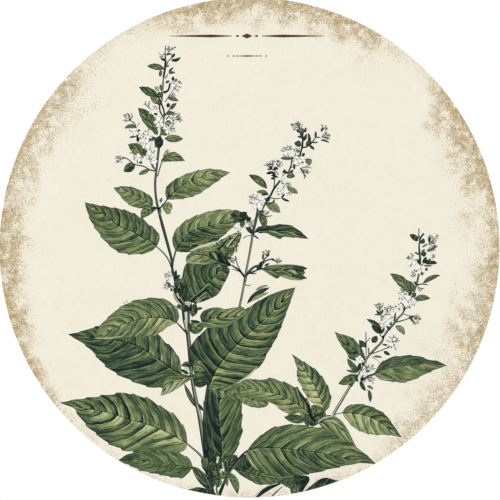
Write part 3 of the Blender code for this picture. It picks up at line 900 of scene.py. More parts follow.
# small leaves, by flowering stem: (base, tip, half width, bend to the left, tone)
smallLeaves = {
    "left_spike": [
        ((-51, 107.2), (-61.6, 109), 1.9, -0.5, 0.42),
        ((-54.4, 90.2), (-66.4, 96.4), 2.5, -0.3, 0.30),
        ((-53.8, 86.2), (-59.6, 91), 1.7, 0.3, 0.50),
        ((-56.2, 69), (-67, 84), 3.7, -1.3, 0.36),
        ((-56, 70.6), (-58.4, 78.4), 1.5, -0.9, 0.5),
        ((-67.4, 72.2), (-75.2, 71.6), 1.3, -1.0, 0.42),
        ((-62, 55.4), (-73, 62), 3.4, -0.5, 0.4),
        ((-51, 65.4), (-39.7, 65.2), 2.3, 0.2, 0.46),
        ((-53.2, 52), (-38.6, 52), 2.9, 2.6, 0.44),
        ((-60, 46.6), (-66.6, 43.8), 1.4, -0.2, 0.5),
        ((-68.6, 50.4), (-75.6, 45.6), 2.7, 0.0, 0.44),
        ((-69.4, 48.8), (-74.6, 45.8), 1.2, 0.3, 0.2),
        ((-66, 52.2), (-64.6, 50.2), 0.9, 0.0, 0.34),
        ((-47.4, 112.6), (-41.2, 114.4), 1.0, -1.0, 0.1),
        ((-48.8, 104.6), (-44.4, 105), 0.8, 0.3, 0.32),
        ((-48.6, 105.4), (-45.4, 108.2), 0.6, 0.1, 0.18),
        ((-46, 100), (-45.8, 102.8), 0.9, 0.0, 0.12),
        ((-44.8, 99.6), (-43.4, 101.4), 0.8, 0.0, 0.45),
        ((-49.2, 89.8), (-42.4, 88), 1.2, 0.3, 0.42),
        ((-47.8, 83.2), (-43.6, 86.8), 1.1, 0.2, 0.4),
        ((-49, 84), (-48.6, 87), 1.1, 0.0, 0.12),
        ((-50, 80), (-45.2, 81), 1.3, 0.3, 0.4),
        ((-51, 74.2), (-46.6, 75.2), 1.5, 0.0, 0.6),
        ((-54.6, 59.4), (-54, 67.4), 2.7, 0.0, 0.12),
        ((-53, 70.6), (-49.4, 67.4), 1.9, 0.0, 0.4),
        ((-56, 66), (-60.8, 64.6), 1.3, 0.0, 0.34),
        ((-67, 63.2), (-66.8, 67.8), 1.0, 0.0, 0.12),
        ((-66.8, 67.4), (-72.2, 66), 0.7, 0.0, 0.34),
        ((-57.6, 72), (-55.2, 67.6), 1.6, 0.0, 0.34),
        ((-53, 106.6), (-53.8, 102.4), 1.0, 0.0, 0.42),
        ((-52.4, 90), (-54.8, 93.4), 1.7, 0.0, 0.34),
        ((-52.6, 94), (-53.6, 98), 1.0, 0.0, 0.44),
        ((-50, 115.4), (-46.6, 116.6), 0.8, 0.4, 0.22),
        ((-47, 113.6), (-44.6, 116.6), 0.8, 0.0, 0.14),
        ((-50, 112.6), (-53.4, 113.6), 0.8, 0.3, 0.16),
        ((-50.4, 98.6), (-47.8, 100), 0.8, 0.3, 0.34),
        ((-57.6, 80.6), (-55, 79.8), 0.8, 0.0, 0.16),
        ((-63.4, 58.4), (-61.4, 57.2), 1.2, 0.0, 0.34),
        ((-54.6, 78.6), (-53.6, 77.4), 0.8, 0.0, 0.4),
        ((-53.6, 27), (-52.6, 30), 0.9, 0.0, 0.46),
    ],
    "middle_spike": [
        ((10.6, 35.4), (-0.6, 43.8), 2.3, -1.0, 0.36),
        ((11.6, 31.6), (4, 33.4), 1.4, -0.9, 0.42),
        ((11, 32.4), (6.8, 31.4), 0.7, 0.0, 0.2),
        ((22.6, 35.6), (29.2, 32.4), 1.6, 0.5, 0.52),
        ((22.2, 42.4), (27.4, 42.8), 1.9, 0.9, 0.44),
        ((34.4, 53.4), (36.4, 49.6), 2.0, 0.3, 0.44),
        ((25.6, 53.4), (18.4, 53.6), 1.2, -0.2, 0.46),
        ((31, 61), (26.8, 62.8), 1.9, -0.6, 0.28),
        ((36, 62), (35.8, 68.4), 1.0, 0.0, 0.26),
        ((37.4, 63), (41.4, 63.2), 0.5, 0.0, 0.4),
        ((39.6, 65.8), (39.8, 70), 0.8, 0.0, 0.36),
        ((36, 61.4), (39, 58.8), 0.9, 0.0, 0.24),
        ((42.4, 64.6), (48, 62.8), 0.6, 0.5, 0.26),
        ((43.2, 69.2), (44.2, 72.4), 0.6, 0.3, 0.22),
        ((39.8, 66), (42.8, 66), 0.4, 0.2, 0.3),
        ((32.6, 64), (34.4, 68.4), 0.9, 0.0, 0.2),
        ((32, 66), (30.4, 70), 1.0, 0.0, 0.2),
        ((32, 68), (31.6, 72), 1.2, 0.0, 0.4),
        ((33.4, 69), (33.8, 72.4), 0.7, 0.0, 0.24),
        ((30.4, 69), (28, 71), 0.9, 0.0, 0.24),
        ((31.6, 65.8), (28.6, 67), 0.6, 0.0, 0.24),
        ((34, 61), (36.6, 65), 1.2, 0.0, 0.3),
        ((30.2, 54.4), (26.6, 55), 0.8, 0.0, 0.2),
        ((31.6, 54.6), (33, 57), 0.9, 0.0, 0.28),
        ((31, 52), (32.6, 50.8), 0.8, 0.0, 0.36),
        ((23.4, 55.2), (23.4, 58), 0.8, 0.0, 0.14),
        ((25.4, 52.6), (25.6, 54.8), 0.9, 0.0, 0.4),
        ((23.4, 44.8), (19.4, 45.6), 0.9, 0.0, 0.2),
        ((24.2, 44.8), (26.4, 46.6), 0.8, 0.0, 0.12),
        ((21, 46), (21, 47), 0.8, 0.0, 0.3),
        ((14.4, 45.4), (9.8, 44.4), 0.9, 0.0, 0.1),
        ((14.2, 47.2), (17.4, 47.2), 1.0, 0.4, 0.14),
        ((13.4, 46.6), (12.4, 49.4), 0.8, 0.0, 0.14),
        ((13, 46.8), (10.4, 47.2), 0.5, 0.0, 0.22),
        ((14.8, 42), (14.6, 45.8), 1.1, 0.0, 0.1),
        ((15, 41.6), (12.6, 41.4), 0.7, 0.0, 0.12),
        ((15, 42.4), (17.4, 42.6), 0.6, 0.0, 0.12),
        ((14.8, 43.4), (12.8, 43.2), 0.5, 0.0, 0.2),
        ((26.6, 48.4), (27, 50.4), 0.8, 0.0, 0.34),
        ((26.8, 49), (26.8, 46.8), 0.7, 0.0, 0.34),
        ((19, 30), (24.4, 27.8), 0.7, -0.3, 0.16),
        ((19, 29.8), (21.2, 32.2), 0.6, 0.0, 0.16),
        ((14, 26.4), (15, 29), 0.7, 0.0, 0.4),
        ((9.8, 26.2), (18.6, 21), 2.6, 0.8, 0.54),
        ((9, 26), (14.6, 27), 0.8, 0.0, 0.4),
        ((5.4, 21.2), (9, 11), 2.3, 1.2, 0.44),
        ((12.2, 30.4), (9.6, 27.4), 1.3, 0.0, 0.16),
        ((5.2, 22), (9.4, 21.2), 0.7, 0.0, 0.12),
        ((-1.4, 12.4), (1.4, 9), 1.4, 0.0, 0.24),
        ((1.8, 7.6), (5.8, 4.8), 0.5, 0.3, 0.14),
        ((0, 17.6), (-11.8, 20), 2.8, -0.2, 0.24),
        ((-3.6, 18.6), (-9.8, 22.6), 1.5, 0.0, 0.38),
        ((-6.4, 18.6), (-1.2, 21), 1.5, 0.3, 0.16),
        ((-4, 16.8), (-4.6, 12), 1.5, 0.0, 0.34),
        ((-1.6, 15.4), (0.8, 18.4), 1.2, 0.0, 0.1),
        ((-9.6, 17.4), (-4, 15.2), 1.4, 0.2, 0.4),
        ((-6.4, 16.4), (-2.4, 16.6), 1.0, 0.0, 0.1),
        ((-9.8, 15), (-6, 17.4), 1.3, 0.0, 0.3),
        ((8, -7.4), (8.2, -3.2), 0.7, 0.0, 0.42),
        ((8.8, -11), (12.2, -9.4), 0.7, 0.0, 0.3),
        ((10.4, -5.4), (11.8, -4), 0.6, 0.0, 0.2),
        ((13, -6.4), (15.4, -8), 0.7, 0.0, 0.3),
        ((6, -12.4), (7.6, -8), 1.3, 0.0, 0.1),
        ((4, -12), (7.8, -12.4), 1.3, 0.0, 0.12),
        ((7.6, -12.4), (25.6, -11.6), 1.3, 0.6, 0.5),
        ((-1.6, -33.6), (12.4, -23.8), 1.7, 1.2, 0.2),
        ((3.6, -25.6), (11.4, -22.6), 0.8, 0.6, 0.66),
        ((0, -32.4), (11.8, -26.8), 1.0, 0.4, 0.72),
        ((0.4, -15.6), (4.6, -15.4), 0.4, 0.0, 0.3),
    ],
    "right_spike": [
        ((97.4, -28), (84.2, -15.4), 3.0, -1.4, 0.42),
        ((96.8, -27.4), (94, -19.4), 2.2, -1.4, 0.36),
        ((104, -21.4), (114.6, -16.4), 1.4, 0.8, 0.38),
        ((98.6, -31.2), (108.6, -30.4), 1.9, 0.8, 0.42),
        ((79.4, -50.6), (70, -42.8), 1.5, -1.2, 0.28),
        ((79.8, -51.6), (73, -46.4), 1.5, 0.4, 0.2),
        ((79, -51.4), (81, -48), 0.9, 0.0, 0.28),
        ((70.4, -59.6), (65.6, -55.4), 1.6, 0.3, 0.28),
        ((73.6, -57), (76.6, -53), 1.9, 0.0, 0.22),
        ((80.4, -62.2), (84.4, -64.4), 1.1, 0.0, 0.26),
        ((87.4, -46.8), (93.2, -52.4), 1.8, 0.9, 0.6),
        ((65.4, -74.4), (58.6, -66.4), 1.8, 0.5, 0.36),
        ((65.4, -74.6), (57.8, -73.4), 0.9, 0.2, 0.42),
        ((65.6, -76.4), (53.2, -81.8), 2.9, 0.2, 0.42),
        ((66.2, -80), (69.4, -86), 1.3, 0.0, 0.24),
        ((70.4, -83), (74.2, -85.2), 0.9, 0.5, 0.52),
        ((71.6, -85.2), (72.4, -92.8), 1.2, 0.3, 0.36),
        ((66, -66.6), (69.6, -65.4), 1.0, 0.0, 0.3),
        ((65.2, -74), (66.6, -68.4), 1.1, 0.0, 0.16),
        ((104.2, -8.8), (112.8, -9.4), 1.5, 0.5, 0.16),
        ((104, -9.6), (106.2, -5.4), 1.1, 0.0, 0.2),
        ((107.6, -8.6), (108.8, -6.4), 1.0, 0.0, 0.34),
        ((104, -10.6), (110, -10.8), 0.6, -0.2, 0.6),
        ((102.8, -4), (106.2, -3.2), 1.6, -0.2, 0.2),
        ((103, -3.8), (105.4, -0.8), 0.8, 0.2, 0.42),
        ((103.4, 0.2), (107, 2.4), 0.5, 0.0, 0.44),
        ((106.6, -2.6), (113.2, 1.4), 0.6, 0.0, 0.36),
        ((102, -4.2), (98.8, -2.6), 0.6, 0.0, 0.38),
        ((102.4, 2.6), (104.6, 5.6), 1.4, -0.6, 0.26),
        ((101.2, 4), (96, 8), 1.7, -0.3, 0.22),
        ((101.8, 5), (101.4, 8), 0.8, 0.0, 0.5),
        ((107.8, 3), (108, 7.4), 0.9, 0.0, 0.32),
        ((103.2, -12), (103.6, -17.2), 0.9, 0.0, 0.3),
        ((106.2, -12), (106.2, -14), 0.8, 0.0, 0.14),
        ((101, -7), (101.6, -10), 0.8, 0.0, 0.16),
        ((79.6, -58), (83.2, -58.6), 0.6, 0.0, 0.38),
        ((82.4, -60.4), (84.4, -59), 0.5, 0.0, 0.26),
        ((74.2, -65.4), (79.8, -66), 0.7, 0.4, 0.5),
        ((85, -46.4), (83.4, -43.4), 1.1, 0.0, 0.36),
        ((86.4, -44.6), (87.4, -38.2), 0.6, -0.4, 0.34),
        ((84.6, -49.6), (82, -46.8), 0.8, 0.0, 0.24),
        ((95, -42.6), (98.8, -40.8), 0.8, 0.0, 0.34),
        ((96.4, -42.4), (98.6, -44.6), 0.7, 0.0, 0.3),
        ((78.4, -40.4), (76, -37.4), 0.8, 0.0, 0.34),
        ((78.6, -40), (80.2, -37), 0.8, 0.0, 0.3),
        ((78.4, -40.4), (74.6, -40), 0.4, 0.0, 0.34),
        ((61.6, -80), (60.4, -78.2), 0.8, 0.0, 0.2),
        ((65, -80.6), (63.4, -77.2), 0.9, 0.0, 0.24),
        ((66.6, -79.8), (68.6, -77.8), 0.9, 0.0, 0.14),
        ((67.4, -68.6), (69.2, -71), 0.9, 0.0, 0.24),
        ((99.8, -26.8), (98.4, -30.4), 0.7, 0.0, 0.2),
        ((95.8, -29.6), (96.2, -26.8), 0.8, 0.0, 0.14),
        ((100.2, -22.4), (98.6, -20), 0.7, 0.0, 0.4),
    ],
    "nodes": [
        ((-43.6, -25), (-42.6, -16), 1.7, 0.5, 0.26),
        ((-42.6, -22), (-39.4, -17.4), 1.7, -0.4, 0.42),
        ((-40, -34.8), (-45, -22), 2.6, 0.5, 0.12),
        ((-38.6, -34), (-41.4, -20.6), 2.3, 0.0, 0.14),
        ((-39.4, -31.6), (-38, -21), 1.5, 0.0, 0.2),
        ((-44.6, -19.4), (-44, -13), 0.9, 0.0, 0.16),
        ((-46, -16.4), (-46.4, -11.6), 0.9, 0.0, 0.34),
        ((-43.8, -18.4), (-41.2, -16.6), 0.7, 0.4, 0.14),
        ((-46.4, -26.4), (-48.6, -21), 1.0, 0.0, 0.2),
        ((-46, -23.6), (-44.2, -23.4), 0.9, 0.0, 0.6),
        ((-47.4, -21.6), (-50.4, -21.2), 0.7, 0.0, 0.3),
        ((-41.4, -31), (-32.6, -30.4), 1.7, 0.0, 0.14),
        ((-38, -34.6), (-33, -30.6), 1.2, 0.0, 0.1),
        ((-40.6, -36.6), (-35.4, -36.8), 2.1, 0.2, 0.1),
        ((-30.6, -2.6), (-17, 1.2), 2.1, 0.3, 0.56),
        ((-43.4, -34.2), (-39, -37.4), 1.5, 0.0, 0.34),
        ((-34.4, -41.6), (-33, -33.2), 2.3, -0.4, 0.36),
        ((-35.4, -38.6), (-35, -33), 1.0, 0.0, 0.16),
        ((-33, -39.4), (-32, -33.6), 0.7, -0.4, 0.12),
        ((-31.6, -37.2), (-28, -36.4), 0.9, 0.4, 0.34),
        ((-38.6, -36.6), (-45.4, -35), 0.7, 0.4, 0.4),
        ((-46, -44.4), (-49.2, -35.2), 1.3, 0.4, 0.3),
        ((-37, -48.4), (-27, -47.2), 4.2, 0.2, 0.42),
        ((-35.6, -43.6), (-29.4, -44.6), 0.8, -0.2, 0.1),
        ((-36.4, -45.6), (-34.6, -50), 1.0, 0.0, 0.26),
        ((-34.8, -43.6), (-30, -44.8), 0.5, 0.0, 0.12),
        ((-34.6, -70.6), (-41, -70.8), 1.7, -0.8, 0.42),
        ((-35, -71.6), (-38.4, -69.8), 0.9, 0.0, 0.14),
        ((-34.6, -70), (-27, -70.6), 1.9, 1.1, 0.46),
        ((-34.4, -70.6), (-27.4, -72.6), 0.8, 0.5, 0.12),
        ((-34.6, -73), (-27, -73.8), 1.8, 0.6, 0.5),
        ((-34.6, -77), (-26.6, -76.4), 1.5, 0.3, 0.44),
        ((-34, -78.6), (-25.4, -82), 3.1, -0.6, 0.24),
        ((-36.4, -75.8), (-41.4, -73), 1.0, 0.0, 0.18),
        ((-32.2, -95.8), (-39.2, -81.4), 1.4, 0.3, 0.34),
        ((-27.8, -98), (-30.8, -93.4), 0.9, 0.0, 0.24),
        ((-15, -125), (-5.6, -131.4), 3.0, 1.2, 0.34),
        ((-4.4, -131.6), (1.2, -130.6), 1.8, 0.0, 0.14),
        ((-22.2, -146), (-34.8, -131), 3.1, -0.3, 0.3),
        ((-13.4, -134.4), (-7.2, -148), 2.4, 1.6, 0.46),
        ((-13.6, -136), (-13.2, -143.4), 1.1, -0.3, 0.48),
        ((-25.4, -119), (-20.4, -131), 2.8, 0.0, 0.12),
        ((-23.6, -136.4), (-29, -126.4), 2.0, 0.0, 0.34),
        ((-24, -138), (-17.6, -129), 3.4, 0.4, 0.22),
        ((-25.6, -134.6), (-20.4, -128), 2.1, 0.3, 0.3),
        ((-21.6, -135), (-16.6, -129.6), 1.9, 0.0, 0.3),
        ((-15.2, -125), (-16.8, -133), 1.5, 0.0, 0.36),
        ((-16.8, -136.2), (-23.4, -136.4), 2.2, 0.0, 0.4),
        ((-17, -137.4), (-23, -139.6), 1.8, 0.0, 0.34),
        ((-18, -138.6), (-12.6, -134), 2.0, 0.0, 0.46),
        ((-18.4, -137.6), (-19, -144), 2.1, 0.0, 0.36),
        ((-21.6, -138.6), (-23, -143.4), 1.1, 0.0, 0.2),
        ((-20.6, -139), (-22.6, -144.6), 1.2, 0.0, 0.3),
        ((-17, -132.6), (-18.6, -127), 0.9, 0.0, 0.3),
        ((34.6, -103.4), (20.6, -101.6), 2.7, 0.2, 0.36),
        ((33, -102), (30.4, -98.8), 1.0, 0.0, 0.6),
        ((35.4, -107), (32.8, -102.8), 1.1, 0.0, 0.34),
        ((45, -103.6), (37.2, -94.4), 4.3, 0.2, 0.42),
        ((43.6, -105.4), (38.6, -98.4), 1.2, 0.3, 0.2),
        ((43.4, -98.6), (37.4, -107.4), 2.6, 0.0, 0.26),
        ((33.4, -98), (37.4, -107.4), 1.9, 0.0, 0.3),
        ((28, -141.4), (27.6, -150), 3.4, 0.0, 0.36),
        ((30.6, -143.6), (31.6, -149), 1.2, 0.0, 0.12),
        ((40, -105.2), (34.6, -94), 1.3, 0.6, 0.1),
        ((36, -106.4), (40.8, -105.2), 1.2, 0.2, 0.2),
        ((41.8, -104.6), (45.4, -98.6), 1.4, 0.0, 0.2),
        ((25, -12.4), (34.8, -12.6), 1.5, 0.3, 0.26),
        ((25, -16.8), (34.6, -18.4), 1.4, 0.2, 0.3),
        ((17, -16.2), (32.6, -19.4), 0.9, -0.5, 0.72),
        ((-14.4, -135), (-7.4, -124.4), 3.3, 0.4, 0.28),
        ((-17.2, -132), (-17.4, -124.6), 1.3, 0.0, 0.24),
        ((-24.8, -136.4), (-21.4, -140.4), 1.3, 0.0, 0.2),
    ],
}
smallFinish = {
    "lowest": 6.03,  # layers
    "step": 0.06,
    "levels": 30,
    "seed": 40.0,
    "wide": 1.5,  # half width from which a leaf has strong veins
    "toothed": 2.4,  # half width from which it has teeth
    "fullness": 0.9,  # below 1 it is widest before its middle
    "mesh": (14, 6),
}


def bract(base, tip, width, bend, tone):
    # the outline and tones of a small leaf from its two ends
    run = (tip[0] - base[0], tip[1] - base[1])
    length = math.hypot(*run)
    side = (-run[1] / length, run[0] / length)

    def at(s, t):
        arch = 4 * s * (1 - s) * bend
        out = arch + t * width
        return (base[0] + run[0] * s + side[0] * out, base[1] + run[1] * s + side[1] * out)

    shares = [0.15, 0.35, 0.6, 0.82]
    swell = [math.sin(math.pi * s ** smallFinish["fullness"]) ** 0.8 for s in shares]
    return {
        "base": base,
        "tip": tip,
        "upper": [at(s, w) for s, w in zip(shares, swell)],
        "middle": [at(s, 0) for s in shares],
        "lower": [at(s, -w) for s, w in zip(shares, swell)],
        "lean": (0.5, 0.5),
        "tones": ((tone + 0.03, tone + 0.08, tone), (tone - 0.05, tone, tone - 0.02)),
        "mesh": smallFinish["mesh"],
    }


for place, rows in smallLeaves.items():
    film = Film("small_leaves_" + place, "leaf")
    for i, (base, tip, width, bend, tone) in enumerate(rows):
        strong = width > smallFinish["wide"]
        toothed = width > smallFinish["toothed"] and place != "nodes"
        leaf = bract(base, tip, width, bend, tone)
        leaf["layer"] = smallFinish["lowest"] + smallFinish["step"] * (i % smallFinish["levels"])
        leaf["seed"] = smallFinish["seed"] + i
        leaf["warm"] = 0.3 + 0.4 * ((i * 7) % 5) / 4  # some yellower than others
        leaf["veins"] = (2 + i % 2, 2 + (i + 1) % 2)
        leaf["contrast"] = 0.34 if strong else 0.2
        leaf["rib"] = 0.42 if strong else 0.25
        leaf["teeth"] = (4, 0.4) if toothed else (0, 0.0)
        addLeaf(film, leaf)
    film.close()

# larger leaves of the flowering stems and the node, in the same terms as the big ones
upperLeaves = [
    {
        "name": "leaf_middle_arched",
        "base": (3.4, 10.2), "tip": (35.6, 5.2),
        "upper": [(5.5, 12.6), (9, 13), (14, 13.5), (20, 14.1), (26, 12.8), (31, 9.4)],
        "middle": [(9, 10.6), (15, 10.2), (23, 10), (29, 8)],
        "lower": [(6, 8.8), (10.4, 8.6), (14.6, 6.6), (18.2, 5.2), (20.4, 6.4), (27, 6), (32, 5.6)],
        "veins": (3, 3), "lean": (0.6, 0.6), "teeth": (5, 0.4),
        "tones": ((0.14, 0.3, 0.24), (0.2, 0.46, 0.3)),
        "contrast": 0.4, "rib": 0.6, "layer": 5, "seed": 30.0,
        "mesh": (40, 12),
    },
    {
        "name": "leaf_middle_notched",
        "base": (5.4, -12.2), "tip": (33.4, -15.2),
        "upper": [(10, -12.2), (15, -11.6), (20, -10.2), (26, -10.2), (31.4, -11.4)],
        "middle": [(12, -13.4), (18, -13.6), (25, -13.4), (30, -14.4)],
        "lower": [(9.4, -14.4), (13, -16.8), (16.6, -18.6), (19.4, -16.6), (24, -17.8), (29, -19.2)],
        "veins": (4, 4), "lean": (0.5, 0.5),
        "tones": ((0.3, 0.46, 0.26), (0.36, 0.4, 0.5)),
        "contrast": 0.5, "rib": 0.6, "layer": 5, "seed": 31.0,
        "mesh": (40, 12),
    },
    {
        "name": "leaf_right_spike",
        "base": (69.6, -67.2), "tip": (51, -50.4),
        "upper": [(68.4, -62.6), (65, -57.4), (61, -53.6), (56, -52.2)],
        "middle": [(64.4, -63), (59, -57.8), (54.6, -53.6)],
        "lower": [(65, -68.4), (60, -66.4), (57.6, -62), (54, -57)],
        "veins": (4, 4), "lean": (0.3, 0.3), "teeth": (4, 0.5),
        "tones": ((0.42, 0.5, 0.46), (0.3, 0.4, 0.5)),
        "contrast": 0.24, "rib": 0.5, "layer": 6, "seed": 33.0,
        "mesh": (32, 12),
    },
    {
        "name": "leaf_left_small",
        "base": (-33.2, -77.3), "tip": (-53.4, -88.8),
        "upper": [(-37.8, -76.6), (-43, -76.3), (-48.4, -77.1), (-51.2, -80), (-52.4, -85.4)],
        "middle": [(-38.4, -78), (-44, -79.8), (-49, -83)],
        "lower": [(-36, -79.6), (-39.6, -81.9), (-43.2, -84.5), (-47.2, -86.8), (-51, -88.2)],
        "veins": (4, 4), "lean": (0.4, 0.4),
        "tones": ((0.3, 0.5, 0.6), (0.46, 0.66, 0.66)),
        "contrast": 0.7, "rib": 0.5, "layer": 8, "seed": 32.0,
        "mesh": (40, 14),
    },
]

printLeaves(upperLeaves)
print("small leaves printed")


